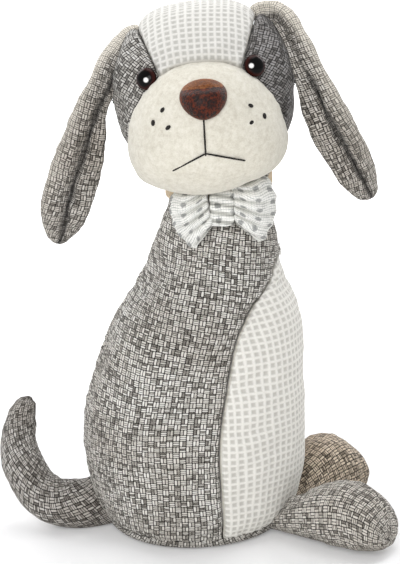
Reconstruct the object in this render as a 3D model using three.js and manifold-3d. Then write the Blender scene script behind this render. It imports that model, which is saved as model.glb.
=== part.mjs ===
// Dog door stop: a sitting cloth dog, stuffed with fibre round a sand bag, with its head turned to one side.
// Millimetres, +Z up. The chest and paws face +X, the tail is at -X and the face looks along -Y.
// The origin is the middle of the flat base, on the surface that the door stop stands on.
import * as THREE from "three";
import { mergeVertices } from "three/addons/utils/BufferGeometryUtils.js";
import Module from "manifold-3d";

const wasm = await Module();
wasm.setup();

// Cloth and fits
const CLOTH = 1.4; // thickness of a cover panel with its seam allowance pressed flat
const CLEARANCE = 0.3; // gap between two pieces that touch
const SEAM_GAP = 0.4; // gap between two panels along their seam
const FILLING_GAP = 1; // how far the fibre stays behind the cover

// Body: its back (-X), front (+X) and half depth (Y) at each height
const BASE_ROUND = 7; // radius between the flat base and the sides
const BASE_SEAM_HEIGHT = 5.5; // where the base panel meets the side and belly panels
const BODY_EGG = 0.08; // how much deeper the haunches are than the chest, as a share of the half depth
const BODY_TOP = 224; // the body form runs up into the head, which cuts it off
const BODY_STATIONS = [
  { height: BASE_ROUND, back: -51.5, front: 51, depth: 53 },
  { height: 17, back: -56.5, front: 56, depth: 56 },
  { height: 35, back: -61.8, front: 60, depth: 58 },
  { height: 55, back: -63.8, front: 60.6, depth: 58.5 },
  { height: 72, back: -62.5, front: 60.4, depth: 57.5 },
  { height: 90, back: -57.5, front: 60.2, depth: 54 },
  { height: 109, back: -50.5, front: 60, depth: 50 },
  { height: 127, back: -42, front: 57.2, depth: 45 },
  { height: 145, back: -31, front: 51, depth: 39 },
  { height: 164, back: -24, front: 45.8, depth: 33.5 },
  { height: 183, back: -17.5, front: 42, depth: 30 },
  { height: 194, back: -16.5, front: 40.5, depth: 29 },
  { height: BODY_TOP, back: -16.5, front: 40.5, depth: 29 },
];

// Belly panel: half its angle round the body at each height, up to its point under the bow
const BELLY_POINT_HEIGHT = 157;
const BELLY_STATIONS = [
  { height: BASE_SEAM_HEIGHT, angle: 74 },
  { height: 30, angle: 77 },
  { height: 55, angle: 78 },
  { height: 93, angle: 76 },
  { height: 121, angle: 70 },
  { height: 136, angle: 57 },
  { height: 148, angle: 36 },
  { height: 154, angle: 18 },
];

// Sand bag in the base
const BAG_RADII = new THREE.Vector3(40, 38, 21);
const BAG_SQUARENESS = 2.6;

// Head: a ball with a muzzle ball in front, seen along its own -Y axis
const HEAD_CENTRE = new THREE.Vector3(4.4, -8, 246.7);
const HEAD_PITCH = 10.4; // degrees that the face looks up
const HEAD_ROLL = 6; // degrees that the head leans
const HEAD_RADII = new THREE.Vector3(49.2, 49, 49);
const HEAD_SQUARENESS = 2.3;
const HEAD_PEAR = -0.05; // how much wider the bottom is than the middle, as a share
const MUZZLE_CENTRE = new THREE.Vector3(-0.2, -26, -15);
const MUZZLE_RADII = new THREE.Vector3(41, 40, 36.6);
const MUZZLE_SQUARENESS = 2.3;
const MUZZLE_PEAR = 0.2;
const CROWN_TOP_HALF_WIDTH = 34; // the crown strip over the top of the head
const CROWN_NAPE_HALF_WIDTH = 4.5; // where it ends at the neck

// Eyes: a dome on a ribbed shank, held inside by a washer
const EYE_RADIUS = 5.9;
const EYE_DOME = 4.2;
const EYE_PLACES = [
  { name: "eye_left", x: -28.1, z: 9.8 },
  { name: "eye_right", x: 27.8, z: 10.7 },
];
const SHANK_RADIUS = 1.6;
const SHANK_LENGTH = 13;
const WASHER_RADIUS = 6;
const WASHER_THICKNESS = 1.6;
const WASHER_DEPTH = 3.9; // under the head's surface
const WASHER_FIT = 0.8; // how much wider its hole is than the shank, so that the ribs just hold it

// Nose: a padded patch, wider at the top
const NOSE_PLACE = { x: 0.4, z: -3.8 };
const NOSE_HALF_WIDTH = 12.2;
const NOSE_HALF_HEIGHT = 10.6;
const NOSE_DEPTH = 9.5;
const NOSE_TAPER = 0.16; // how much the lower half narrows
const NOSE_FOLD_HEIGHT = 5.4; // the fold across the nose, above its middle
const NOSE_FOLD_DEPTH = 1.3;
const NOSE_FOLD_WIDTH = 1.6;

// Mouth and whisker stitches, as seen from the front of the head
const MOUTH_THREAD = 1.1;
const MOUTH_FORK = { x: -1.4, z: -31.5 };
const MOUTH_ENDS = [
  { x: -18.5, z: -38.4 },
  { x: 17.4, z: -37 },
];
const WHISKER_LENGTH = 3.6;
const WHISKER_THREAD = 2;
const WHISKERS = [
  { x: -21.1, z: -7.1, turn: 35 },
  { x: -26.7, z: -13.1, turn: 75 },
  { x: -19.1, z: -16.3, turn: 25 },
  { x: 24, z: -9.5, turn: -10 },
  { x: 30.5, z: -15.5, turn: 70 },
  { x: 23.5, z: -18.1, turn: 20 },
];

// Ears: x, y, z of each middle line in the head's frame, from the root to the tip, and the half width there
const EARS = [
  {
    name: "ear_left",
    line: [
      [-27, 1, 40, 5], [-37, -3, 36.4, 5], [-45.6, -8, 29.5, 5], [-52.2, -12, 19.5, 5],
      [-56.8, -13, 8.5, 6.6], [-62, -11, -4, 9.2], [-68.5, -6, -20.6, 12], [-75, 0, -37.4, 13.6],
      [-80.3, 4, -50, 13.9], [-84.8, 7, -62.2, 11.3], [-88.4, 9, -73, 4.5],
    ],
  },
  {
    name: "ear_right",
    line: [
      [26, 1, 40, 6], [35.4, -2, 40, 6], [44.6, -6, 37.6, 6.4], [50, -9, 28.2, 7],
      [53.6, -11, 18.2, 7.4], [57.2, -12, 6.1, 8.6], [60, -11, -4.3, 9.8], [63.7, -8, -17, 11.8],
      [66.9, -6, -25.9, 12.1], [70.7, -3, -35, 11.8], [74.3, 0, -44, 11.2], [78.3, 3, -53.2, 10.2],
      [84, 6, -65.5, 5.5],
    ],
  },
];
const EAR_FULLNESS = 0.7; // thickness of an ear as a share of its width
const EAR_FOLD_DEPTH = 0.55; // depth of the fold along its front, as a share of half its thickness
const EAR_FOLD_WIDTH = 0.28; // half width of the fold, as a share of half its width

// Tail: its middle line and radius
const TAIL_LINE = [
  [-44, -2, 17], [-57, -6, 15.6], [-68, -10, 15.4], [-79, -11, 17.4], [-88.5, -10, 24.5],
  [-95.5, -7, 36.5], [-98.2, -4, 48], [-97, -1, 60], [-93.4, 0, 71],
];
const TAIL_ROOT_RADIUS = 15.4;
const TAIL_TIP_RADIUS = 7.4;
const TAIL_RADII = [
  [0, TAIL_ROOT_RADIUS], [0.3, TAIL_ROOT_RADIUS * 0.88], [0.7, TAIL_TIP_RADIUS * 1.45], [0.9, TAIL_TIP_RADIUS],
  [0.97, TAIL_TIP_RADIUS * 0.7], [1, TAIL_TIP_RADIUS * 0.2],
]; // by share of its length

// Paws: pads that lie on the floor, turned out to each side of the belly
const PAWS = [
  { name: "paw_near", root: { x: 40, y: -14 }, angle: -33, length: 79, height: 35 },
  { name: "paw_far", root: { x: 38, y: 12 }, angle: 26, length: 68, height: 38.5 },
];
const PAW_HALF_WIDTH = 19.5;
const PAW_SEAM = 1.2; // height of the ridge where the two halves of a paw are sewn
const PAW_SQUARENESS = 0.85; // power that squares off a paw's sections
const PAW_WIDTHS = [[0, 0.45], [0.25, 0.72], [0.5, 0.95], [0.7, 1], [0.85, 0.85], [0.95, 0.55], [1, 0.12]];
const PAW_HEIGHTS = [[0, 0.3], [0.25, 0.6], [0.5, 0.93], [0.7, 1], [0.85, 0.82], [0.95, 0.52], [1, 0.15]];
const PAW_RINGS = [0, 0.15, 0.3, 0.45, 0.6, 0.72, 0.82, 0.9, 0.95, 0.985, 1];

// Neck band and bow
const BAND_HEIGHT = 9;
const BAND_THICKNESS = 1.6;
const BAND_LEVEL = 192;
const BOW_PLACE = { x: 13.9, z: 189 }; // the middle of its knot, in front of the neck band
const KNOT_SIZE = new THREE.Vector3(13.2, 7, 15.4);
const BOW_TILT = 8; // degrees that the bow leans with the head
const WING_ROOT = 2; // centre of each fan of pleats, from the middle of the knot
const WING_NECK = 6.6; // radius at which a loop comes out of the knot
const WING_REACH = 27;
const WINGS = [
  { name: "bow_loop_left", middle: 190, spread: 37 },
  { name: "bow_loop_right", middle: -14, spread: 41 },
];
const WING_PUFF = 4.6;
const WING_SWEEP = 4; // how far the ends of the loops lean back round the neck
const WING_PLEATS = 4;
const WING_RIM = 2.4; // half thickness of a loop where it is pinched
const WING_RINGS = [0, 0.12, 0.26, 0.42, 0.58, 0.74, 0.88, 0.97, 1];

// Heights of the rows of facets on the body's cover, over the seam of the base panel
const COVER_HEIGHTS = [
  BASE_SEAM_HEIGHT + SEAM_GAP / 2, 17, 35, 55, 78, 102, 121, 133,
  143, 150, 154, BELLY_POINT_HEIGHT, 165, 177, 190, BODY_TOP,
];

// How far the outside of the neck band stands off the body's cover
const BAND_OUT = 2 * CLEARANCE + BAND_THICKNESS;

// Facets: sides round each form, and rows or steps along it
const BODY_SIDES = 24;
const BODY_SIDE_COLUMNS = 9;
const BELLY_COLUMNS = 8;
const HEAD_SIDES = 24;
const HEAD_ROWS = 12;
const LINING_SIDES = 16; // inner faces of the head's covers, and the fibre behind them
const LINING_ROWS = 8;
const FILLING_SIDES = 14;
const BAG_ROWS = 7;
const NOSE_SIDES = 20;
const LOBE_STEPS = 14; // along an ear or the tail
const EAR_SIDES = 14;
const TAIL_SIDES = 12;
const PAW_SIDES = 12;
const BOW_SIDES = 18;
const THREAD_SIDES = 6;
const TURNED_SIDES = 10;

const TWEED = new THREE.MeshStandardMaterial({ color: 0x8b8680, roughness: 0.95, metalness: 0 });
const WAFFLE = new THREE.MeshStandardMaterial({ color: 0xeeece6, roughness: 0.95, metalness: 0 });
const FLEECE = new THREE.MeshStandardMaterial({ color: 0xe2ddd0, roughness: 1, metalness: 0 });
const LEATHER = new THREE.MeshStandardMaterial({ color: 0x5a2a18, roughness: 0.5, metalness: 0 });
const EYE_PLASTIC = new THREE.MeshStandardMaterial({ color: 0x120a08, roughness: 0.1, metalness: 0 });
const WASHER_PLASTIC = new THREE.MeshStandardMaterial({ color: 0xd8d6cf, roughness: 0.5, metalness: 0 });
const THREAD = new THREE.MeshStandardMaterial({ color: 0x15120f, roughness: 0.7, metalness: 0 });
const SPOTTED = new THREE.MeshStandardMaterial({ color: 0xf0efec, roughness: 0.9, metalness: 0 });
const TAPE = new THREE.MeshStandardMaterial({ color: 0xc9a887, roughness: 0.9, metalness: 0 });
const FIBRE = new THREE.MeshStandardMaterial({ color: 0xf6f5f1, roughness: 1, metalness: 0 });
const SACKING = new THREE.MeshStandardMaterial({ color: 0xb9a27d, roughness: 1, metalness: 0 });

const radians = THREE.MathUtils.degToRad;
const power = (value, exponent) => Math.sign(value) * Math.abs(value) ** exponent;
const direction = (angle) => [Math.cos(radians(angle)), Math.sin(radians(angle))];
const shares = (count) => Array.from({ length: count + 1 }, (_, i) => i / count);

// What place(angle) gives at even turns round a full circle, in degrees.
const ringOf = (count, place) => shares(count).slice(1).map((turn) => place(turn * 360));

// A smooth curve through numbers given at rising heights.
function alongHeight(stations, field) {
  const heights = stations.map((station) => station.height);
  const values = stations.map((station) => station[field]);
  const curve = new THREE.CubicInterpolant(heights, values, 1);
  return (height) => curve.evaluate(height)[0];
}

// A closed geometry from corner points, three to a triangle, with its faces turned outwards.
function closedGeometry(corners) {
  const merged = mergeVertices(new THREE.BufferGeometry().setFromPoints(corners), 1e-4);
  const index = merged.index.array;
  const kept = [];
  for (let i = 0; i < index.length; i += 3) {
    const [a, b, c] = index.slice(i, i + 3);
    if (a !== b && b !== c && c !== a) kept.push(a, b, c);
  }
  const point = (i) => new THREE.Vector3().fromBufferAttribute(merged.attributes.position, i);
  let volume = 0;
  for (let i = 0; i < kept.length; i += 3) {
    volume += point(kept[i]).dot(point(kept[i + 1]).cross(point(kept[i + 2])));
  }
  if (volume < 0) kept.reverse();
  return merged.setIndex(kept);
}

// Two triangles for the four-sided cell a, b, c, d.
function addCell(corners, a, b, c, d) {
  corners.push(a, b, c, a, c, d);
}

// A solid through closed rings of points, closed at both ends.
function loft(rings) {
  const corners = [];
  for (let i = 0; i + 1 < rings.length; i++) {
    rings[i].forEach((point, j) => {
      const next = (j + 1) % rings[i].length;
      addCell(corners, point, rings[i][next], rings[i + 1][next], rings[i + 1][j]);
    });
  }
  const capOff = (ring, turned) => {
    const middle = ring.reduce((sum, p) => sum.add(p), new THREE.Vector3()).divideScalar(ring.length);
    ring.forEach((point, j) => {
      const next = ring[(j + 1) % ring.length];
      corners.push(...(turned ? [middle, next, point] : [middle, point, next]));
    });
  };
  capOff(rings[0], true);
  capOff(rings.at(-1), false);
  return closedGeometry(corners);
}

// A cloth panel between two sheets of points that have the same rows and columns.
function panelBetween(outer, inner) {
  const corners = [];
  const rows = outer.length;
  const columns = outer[0].length;
  for (let i = 0; i + 1 < rows; i++) {
    for (let j = 0; j + 1 < columns; j++) {
      addCell(corners, outer[i][j], outer[i][j + 1], outer[i + 1][j + 1], outer[i + 1][j]);
      addCell(corners, inner[i][j], inner[i + 1][j], inner[i + 1][j + 1], inner[i][j + 1]);
    }
  }
  for (let j = 0; j + 1 < columns; j++) {
    addCell(corners, outer[0][j], inner[0][j], inner[0][j + 1], outer[0][j + 1]);
    addCell(corners, outer[rows - 1][j], outer[rows - 1][j + 1], inner[rows - 1][j + 1], inner[rows - 1][j]);
  }
  for (let i = 0; i + 1 < rows; i++) {
    addCell(corners, outer[i][0], outer[i + 1][0], inner[i + 1][0], inner[i][0]);
    const last = columns - 1;
    addCell(corners, outer[i][last], inner[i][last], inner[i + 1][last], outer[i + 1][last]);
  }
  return closedGeometry(corners);
}

// A panel laid on a form: place(row, column) gives the form's two surface parameters for shares from 0 to 1.
function panelOn(form, rows, columns, place) {
  const sheet = (depth) =>
    shares(rows).map((row) => shares(columns).map((column) => form.point(...place(row, column), depth)));
  return panelBetween(sheet(0), sheet(CLOTH));
}

function solidOf(geometry) {
  return new wasm.Manifold(
    new wasm.Mesh({
      numProp: 3,
      vertProperties: geometry.attributes.position.array,
      triVerts: new Uint32Array(geometry.index.array),
    }),
  );
}

function geometryOf(solid) {
  const mesh = solid.getMesh();
  return new THREE.BufferGeometry()
    .setAttribute("position", new THREE.BufferAttribute(mesh.vertProperties, 3))
    .setIndex(new THREE.BufferAttribute(mesh.triVerts, 1));
}

// A stuffed ball whose outline seen from the front is a squared-off ellipse.
class Ball {
  constructor(centre, radii, squareness, pear = 0) {
    Object.assign(this, { centre, radii, squareness, pear });
  }

  grown(by) {
    return new Ball(this.centre, this.radii.clone().addScalar(by), this.squareness, this.pear);
  }

  // 1 on the surface, less inside.
  level(point) {
    const { x, y, z } = point.clone().sub(this.centre).divide(this.radii);
    const wide = Math.abs(x / (1 - this.pear * z)) ** this.squareness;
    return (wide + Math.abs(z) ** this.squareness) ** (2 / this.squareness) + y * y;
  }

  // The point at a turn round the -Y axis (0 is +X, 90 is up) and a turn off that axis, in degrees.
  point(around, off) {
    const [ahead, aside] = direction(off);
    const [u, v] = direction(around).map((side) => aside * power(side, 2 / this.squareness));
    const place = new THREE.Vector3(u * (1 - this.pear * v), -ahead, v);
    return place.multiply(this.radii).add(this.centre);
  }

  normal(point) {
    const step = 0.01;
    const slope = (axis) => {
      const ahead = this.level(point.clone().addScaledVector(axis, step));
      return ahead - this.level(point.clone().addScaledVector(axis, -step));
    };
    const axes = [new THREE.Vector3(1, 0, 0), new THREE.Vector3(0, 1, 0), new THREE.Vector3(0, 0, 1)];
    return new THREE.Vector3(...axes.map(slope)).normalize();
  }

  // The front of the surface, seen from the front at x, z.
  front(x, z) {
    const at = new THREE.Vector3(x, this.centre.y, z);
    const outline = Math.min(1, this.level(at));
    return at.setY(this.centre.y - this.radii.y * Math.sqrt(1 - outline));
  }

  solid(sides = HEAD_SIDES, rows = HEAD_ROWS) {
    return solidOf(loft(shares(rows).map((row) => ringOf(sides, (turn) => this.point(turn, row * 180)))));
  }
}

// The body's outer form: egg-shaped sections with a rounded foot.
const bodyBack = alongHeight(BODY_STATIONS, "back");
const bodyFront = alongHeight(BODY_STATIONS, "front");
const bodyDepth = alongHeight(BODY_STATIONS, "depth");
const bodyForm = {
  outline(around, height) {
    const low = Math.max(0, BASE_ROUND - height);
    const tuck = BASE_ROUND - Math.sqrt(BASE_ROUND ** 2 - low ** 2);
    const level = Math.max(height, BASE_ROUND);
    const [back, front] = [bodyBack(level) + tuck, bodyFront(level) - tuck];
    const [cos, sin] = direction(around);
    const deep = (bodyDepth(level) - tuck) * (1 - BODY_EGG * cos);
    return new THREE.Vector3((front + back) / 2 + ((front - back) / 2) * cos, deep * sin, height);
  },
  point(around, height, depth = 0) {
    const surface = this.outline(around, height);
    if (!depth) return surface;
    const step = 0.05;
    const sideways = this.outline(around + step, height).sub(this.outline(around - step, height));
    const up = this.outline(around, height + step).sub(this.outline(around, Math.max(0, height - step)));
    return surface.addScaledVector(sideways.cross(up).normalize(), -depth);
  },
  // The whole form as one solid, shrunk or grown by depth.
  solid(depth, sides) {
    const rings = [0, BASE_ROUND / 8, BASE_ROUND / 2.5, ...COVER_HEIGHTS].map((height) =>
      ringOf(sides, (turn) => this.point(turn, height, depth)),
    );
    rings.forEach((ring) => ring.forEach((point) => (point.z = Math.max(point.z, depth))));
    return solidOf(loft(rings));
  },
};

// Half the belly panel's angle at a height, which closes to a point under the bow.
const bellyCurve = alongHeight([...BELLY_STATIONS, { height: BELLY_POINT_HEIGHT, angle: 0 }], "angle");
const bellyAngle = (height) => (height < BELLY_POINT_HEIGHT ? Math.max(0, bellyCurve(height)) : 0);

// The angle round the body that a length takes at a height.
function angleOf(length, height) {
  return THREE.MathUtils.radToDeg(length / bodyDepth(Math.max(height, BASE_ROUND)));
}

const headBall = new Ball(new THREE.Vector3(), HEAD_RADII, HEAD_SQUARENESS, HEAD_PEAR);
const muzzleBall = new Ball(MUZZLE_CENTRE, MUZZLE_RADII, MUZZLE_SQUARENESS, MUZZLE_PEAR);
const FACE_WAY = new THREE.Vector3(0, -1, 0);
const dog = new THREE.Group();
const head = new THREE.Group();
head.position.copy(HEAD_CENTRE);
head.rotation.set(radians(-HEAD_PITCH), radians(-HEAD_ROLL), 0, "YXZ");
head.updateMatrix();
dog.add(head);

// Everything that the head and muzzle take up, with the clearance of a touching piece.
const headSpace = headBall.grown(CLEARANCE).solid().add(muzzleBall.grown(CLEARANCE).solid());
const headSpaceInBody = headSpace.transform(head.matrix.elements);
const bodySpace = bodyForm.solid(-CLEARANCE, 2 * BODY_SIDES);

function addPiece(group, name, shape, material) {
  const mesh = new THREE.Mesh(shape.isBufferGeometry ? shape : geometryOf(shape), material);
  mesh.name = name;
  group.add(mesh);
}

// A solid swept along a curve: ringAt(share) gives its section as sideways and forward distances.
function sweep(curve, steps, front, ringAt) {
  const rings = shares(steps).map((at) => {
    const point = curve.getPoint(at);
    const along = curve.getTangent(at);
    const side = new THREE.Vector3().crossVectors(along, front).normalize();
    const forward = new THREE.Vector3().crossVectors(side, along);
    return ringAt(at).map(([u, v]) => point.clone().addScaledVector(side, u).addScaledVector(forward, v));
  });
  return loft(rings);
}

// A solid of one of the library's own closed geometries.
function plainSolid(geometry) {
  const flat = geometry.index ? geometry.toNonIndexed() : geometry;
  const corner = (i) => new THREE.Vector3().fromBufferAttribute(flat.attributes.position, i);
  return solidOf(closedGeometry(Array.from({ length: flat.attributes.position.count }, (_, i) => corner(i))));
}

// A number from points [share, value] joined by a smooth curve.
function profile(points) {
  const curve = new THREE.CubicInterpolant(points.map((p) => p[0]), points.map((p) => p[1]), 1);
  return (at) => curve.evaluate(at)[0];
}

// Body

function addBodyCover() {
  const side = (sign) =>
    panelOn(bodyForm, COVER_HEIGHTS.length - 1, BODY_SIDE_COLUMNS, (row, column) => {
      const height = COVER_HEIGHTS[Math.round(row * (COVER_HEIGHTS.length - 1))];
      const gap = angleOf(SEAM_GAP / 2, height);
      const from = bellyAngle(height) + gap;
      return [sign * (from + (180 - gap - from) * column), height];
    });
  for (const [name, sign] of [["body_side_near", -1], ["body_side_far", 1]]) {
    addPiece(dog, name, solidOf(side(sign)).subtract(headSpaceInBody), TWEED);
  }
  const top = BELLY_POINT_HEIGHT - SEAM_GAP;
  const bellyHeights = [...COVER_HEIGHTS.filter((height) => height < top), top];
  const belly = panelOn(bodyForm, bellyHeights.length - 1, BELLY_COLUMNS, (row, column) => {
    const height = bellyHeights[Math.round(row * (bellyHeights.length - 1))];
    const half = height === top ? 0 : bellyAngle(height) - angleOf(SEAM_GAP / 2, height);
    return [half * (2 * column - 1), height];
  });
  addPiece(dog, "belly_panel", belly, WAFFLE);
}

function addBasePanel() {
  const rim = BASE_SEAM_HEIGHT - SEAM_GAP / 2;
  const rings = (depth) =>
    [0, 1, 2, 3].map((step) => {
      const height = rim * (1 - Math.cos(radians(step * 30)));
      return ringOf(BODY_SIDES, (turn) => {
        const point = bodyForm.point(turn, height, depth);
        return point.setZ(Math.max(point.z, depth));
      });
    });
  const outside = solidOf(loft(rings(0)));
  const inside = rings(CLOTH);
  inside.push(inside.at(-1).map((point) => point.clone().setZ(BASE_ROUND)));
  addPiece(dog, "base_panel", outside.subtract(solidOf(loft(inside))), TWEED);
}

function addBodyFilling() {
  const bagCentre = new THREE.Vector3(0, 0, CLOTH + CLEARANCE + BAG_RADII.z);
  const bag = new Ball(bagCentre, BAG_RADII, BAG_SQUARENESS);
  addPiece(dog, "sand_bag", bag.solid(FILLING_SIDES, BAG_ROWS), SACKING);
  const recess = bag.grown(CLEARANCE).solid(FILLING_SIDES, BAG_ROWS);
  const openingRadius = BAG_RADII.x * 0.7;
  const opening = new THREE.CylinderGeometry(openingRadius, openingRadius, BAG_RADII.z, FILLING_SIDES + 2);
  opening.rotateX(Math.PI / 2).translate(0, 0, BAG_RADII.z / 2);
  const filling = bodyForm
    .solid(CLOTH + FILLING_GAP, FILLING_SIDES)
    .subtract(headSpaceInBody)
    .subtract(recess)
    .subtract(plainSolid(opening));
  addPiece(dog, "body_filling", filling, FIBRE);
}

// Head

const eyes = EYE_PLACES.map(({ name, x, z }) => {
  const place = headBall.front(x, z);
  const normal = headBall.normal(place);
  const turn = new THREE.Quaternion().setFromUnitVectors(new THREE.Vector3(0, 1, 0), normal);
  return { name, matrix: new THREE.Matrix4().compose(place, turn, new THREE.Vector3(1, 1, 1)) };
});

// A turned solid from points of radius and height, standing on an eye's place.
function turned(points, matrix) {
  const outline = points.map(([radius, height]) => new THREE.Vector2(radius, height));
  return plainSolid(new THREE.LatheGeometry(outline, TURNED_SIDES)).transform(matrix.elements);
}

function eyeSolid({ matrix }) {
  const ribs = [0.45, 0.7].flatMap((at) => [
    [SHANK_RADIUS, -SHANK_LENGTH * at],
    [SHANK_RADIUS + WASHER_FIT - CLEARANCE, -SHANK_LENGTH * at],
    [SHANK_RADIUS, -SHANK_LENGTH * (at + 0.1)],
  ]);
  const dome = [66, 44, 22, 0].map((angle) => [
    EYE_RADIUS * Math.cos(radians(angle)),
    CLEARANCE + 1 + (EYE_DOME - 1) * Math.sin(radians(angle)),
  ]);
  return turned(
    [
      [0, CLEARANCE + EYE_DOME],
      ...dome,
      [EYE_RADIUS - 0.5, CLEARANCE],
      [SHANK_RADIUS, CLEARANCE],
      ...ribs,
      [SHANK_RADIUS * 0.6, -SHANK_LENGTH],
      [0, -SHANK_LENGTH],
    ],
    matrix,
  );
}

// Room for an eye and its shank, through the covers and the fibre.
function eyeRoom({ matrix }) {
  const [eye, shank] = [EYE_RADIUS + CLEARANCE, SHANK_RADIUS + WASHER_FIT];
  const depth = SHANK_LENGTH + CLEARANCE;
  return turned([[0, EYE_DOME], [eye, EYE_DOME], [eye, 0], [shank, 0], [shank, -depth], [0, -depth]], matrix);
}

// Room for the washer, in the fibre alone.
function washerRoom({ matrix }) {
  const reach = WASHER_RADIUS + CLEARANCE;
  const depth = -WASHER_DEPTH - WASHER_THICKNESS - CLEARANCE;
  return turned([[0, 0], [reach, 0], [reach, depth], [0, depth]], matrix);
}

function addEyes() {
  for (const eye of eyes) {
    addPiece(head, eye.name, eyeSolid(eye), EYE_PLASTIC);
    const [inner, outer] = [SHANK_RADIUS + WASHER_FIT, WASHER_RADIUS];
    const [near, deep] = [-WASHER_DEPTH, -WASHER_DEPTH - WASHER_THICKNESS];
    const section = [[inner, near], [outer, near], [outer, deep], [inner, deep], [inner, near]];
    const washer = turned(section, eye.matrix);
    addPiece(head, eye.name.replace("eye", "eye_washer"), washer, WASHER_PLASTIC);
  }
}

// A box by its lowest and highest corners.
function block(low, high) {
  const size = new THREE.Vector3(...high).sub(new THREE.Vector3(...low));
  const box = new THREE.BoxGeometry(size.x, size.y, size.z);
  return plainSolid(box.translate(low[0] + size.x / 2, low[1] + size.y / 2, low[2] + size.z / 2));
}

// The crown strip as a wedge seen from the front, cut off under the chin.
function crownWedge(gap) {
  const reach = 2 * HEAD_RADII.z;
  const edge = (z) => {
    const rise = (z + HEAD_RADII.z) / (2 * HEAD_RADII.z);
    return CROWN_NAPE_HALF_WIDTH + (CROWN_TOP_HALF_WIDTH - CROWN_NAPE_HALF_WIDTH) * rise + gap;
  };
  const outline = new THREE.Shape([
    new THREE.Vector2(-edge(-reach / 2), -reach / 2),
    new THREE.Vector2(edge(-reach / 2), -reach / 2),
    new THREE.Vector2(edge(reach), reach),
    new THREE.Vector2(-edge(reach), reach),
  ]);
  const prism = new THREE.ExtrudeGeometry(outline, { depth: 2 * reach, bevelEnabled: false });
  prism.rotateX(Math.PI / 2).translate(0, reach, 0);
  return plainSolid(prism).subtract(block([-reach, -reach, -reach], [reach, 0, -gap]));
}

function addHeadCover() {
  const covers = headBall
    .solid()
    .subtract(headBall.grown(-CLOTH).solid(LINING_SIDES, LINING_ROWS))
    .subtract(muzzleBall.grown(SEAM_GAP).solid());
  const rooms = eyes.map(eyeRoom);
  const cut = (solid, cutters = rooms) => cutters.reduce((left, room) => left.subtract(room), solid);
  const reach = 2 * HEAD_RADII.z;
  addPiece(head, "crown_panel", cut(covers.intersect(crownWedge(0))), WAFFLE);
  for (const [name, sign] of [["head_side_left", -1], ["head_side_right", 1]]) {
    const xs = [sign * (SEAM_GAP / 2), sign * reach].sort((a, b) => a - b);
    const half = block([xs[0], -reach, -reach], [xs[1], reach, reach]);
    addPiece(head, name, cut(covers.intersect(half).subtract(crownWedge(SEAM_GAP))), TWEED);
  }
  const muzzle = muzzleBall
    .solid()
    .subtract(muzzleBall.grown(-CLOTH).solid(LINING_SIDES, LINING_ROWS))
    .subtract(headBall.grown(SEAM_GAP).solid());
  addPiece(head, "muzzle", cut(muzzle), FLEECE);
  const depth = -CLOTH - CLEARANCE;
  const filling = headBall
    .grown(depth)
    .solid(LINING_SIDES, LINING_ROWS)
    .add(muzzleBall.grown(depth).solid(LINING_SIDES, LINING_ROWS));
  addPiece(head, "head_filling", cut(cut(filling), eyes.map(washerRoom)), FIBRE);
}

function addNose() {
  const rings = (sizes, lift) =>
    sizes.map((size) =>
      ringOf(NOSE_SIDES, (turn) => {
        const [cos, sin] = direction(turn);
        const z = NOSE_HALF_HEIGHT * size * sin;
        const x = NOSE_HALF_WIDTH * size * cos * (1 + (NOSE_TAPER * z) / NOSE_HALF_HEIGHT);
        const point = muzzleBall.front(NOSE_PLACE.x + x, NOSE_PLACE.z + z);
        return point.setY(point.y - CLEARANCE - lift(size, z));
      }),
    );
  const fold = (z) => NOSE_FOLD_DEPTH * Math.exp(-(((z - NOSE_FOLD_HEIGHT) / NOSE_FOLD_WIDTH) ** 2));
  const face = rings([0.25, 0.5, 0.72, 0.9, 1], (size, z) => {
    const dome = NOSE_DEPTH * Math.sqrt(1 - size ** 2.4 * 0.96);
    return dome - fold(z) * (1 - size ** 4);
  });
  const back = rings([0.94, 0.66, 0.36], () => 0);
  addPiece(head, "nose", loft([...face, ...back]), LEATHER);
}

// A thread that lies on the muzzle between two places seen from the front.
function threadOn(from, to) {
  const steps = 4;
  const radius = MOUTH_THREAD / 2;
  const points = shares(steps).map((at) => {
    const point = muzzleBall.front(from.x + (to.x - from.x) * at, from.z + (to.z - from.z) * at);
    return point.addScaledVector(muzzleBall.normal(point), CLEARANCE + radius);
  });
  const round = () => ringOf(THREAD_SIDES, (turn) => direction(turn).map((side) => side * radius));
  return solidOf(sweep(new THREE.CatmullRomCurve3(points), steps, new THREE.Vector3(0, -1, 0), round));
}

function addStitches() {
  const nostril = { x: NOSE_PLACE.x, z: NOSE_PLACE.z - NOSE_HALF_HEIGHT - 0.8 };
  const mouth = MOUTH_ENDS.map((end) => threadOn(MOUTH_FORK, end)).reduce(
    (joined, branch) => joined.add(branch),
    threadOn(nostril, MOUTH_FORK),
  );
  addPiece(head, "mouth_stitch", mouth, THREAD);
  WHISKERS.forEach(({ x, z, turn }, number) => {
    const dot = new THREE.SphereGeometry(1, 8, 4);
    dot.scale(WHISKER_LENGTH / 2, WHISKER_THREAD / 2, WHISKER_THREAD / 2).rotateY(-radians(turn));
    const place = muzzleBall.front(x, z);
    place.addScaledVector(muzzleBall.normal(place), CLEARANCE + WHISKER_THREAD / 2);
    dot.translate(place.x, place.y, place.z);
    addPiece(head, `whisker_stitch_${number + 1}`, plainSolid(dot), THREAD);
  });
}

function addEars() {
  for (const { name, line } of EARS) {
    const curve = new THREE.CatmullRomCurve3(line.map(([x, y, z]) => new THREE.Vector3(x, y, z)));
    const half = profile(line.map(([, , , width], i) => [i / (line.length - 1), width]));
    const ear = sweep(curve, LOBE_STEPS, FACE_WAY, (at) => {
      const width = half(at);
      return ringOf(EAR_SIDES, (turn) => {
        const [u, v] = direction(turn);
        const fold = v > 0 ? EAR_FOLD_DEPTH * Math.exp(-((u / EAR_FOLD_WIDTH) ** 2)) : 0;
        return [u * width, v * width * EAR_FULLNESS * (1 - fold)];
      });
    });
    addPiece(head, name, solidOf(ear).subtract(headSpace), TWEED);
  }
}

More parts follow.
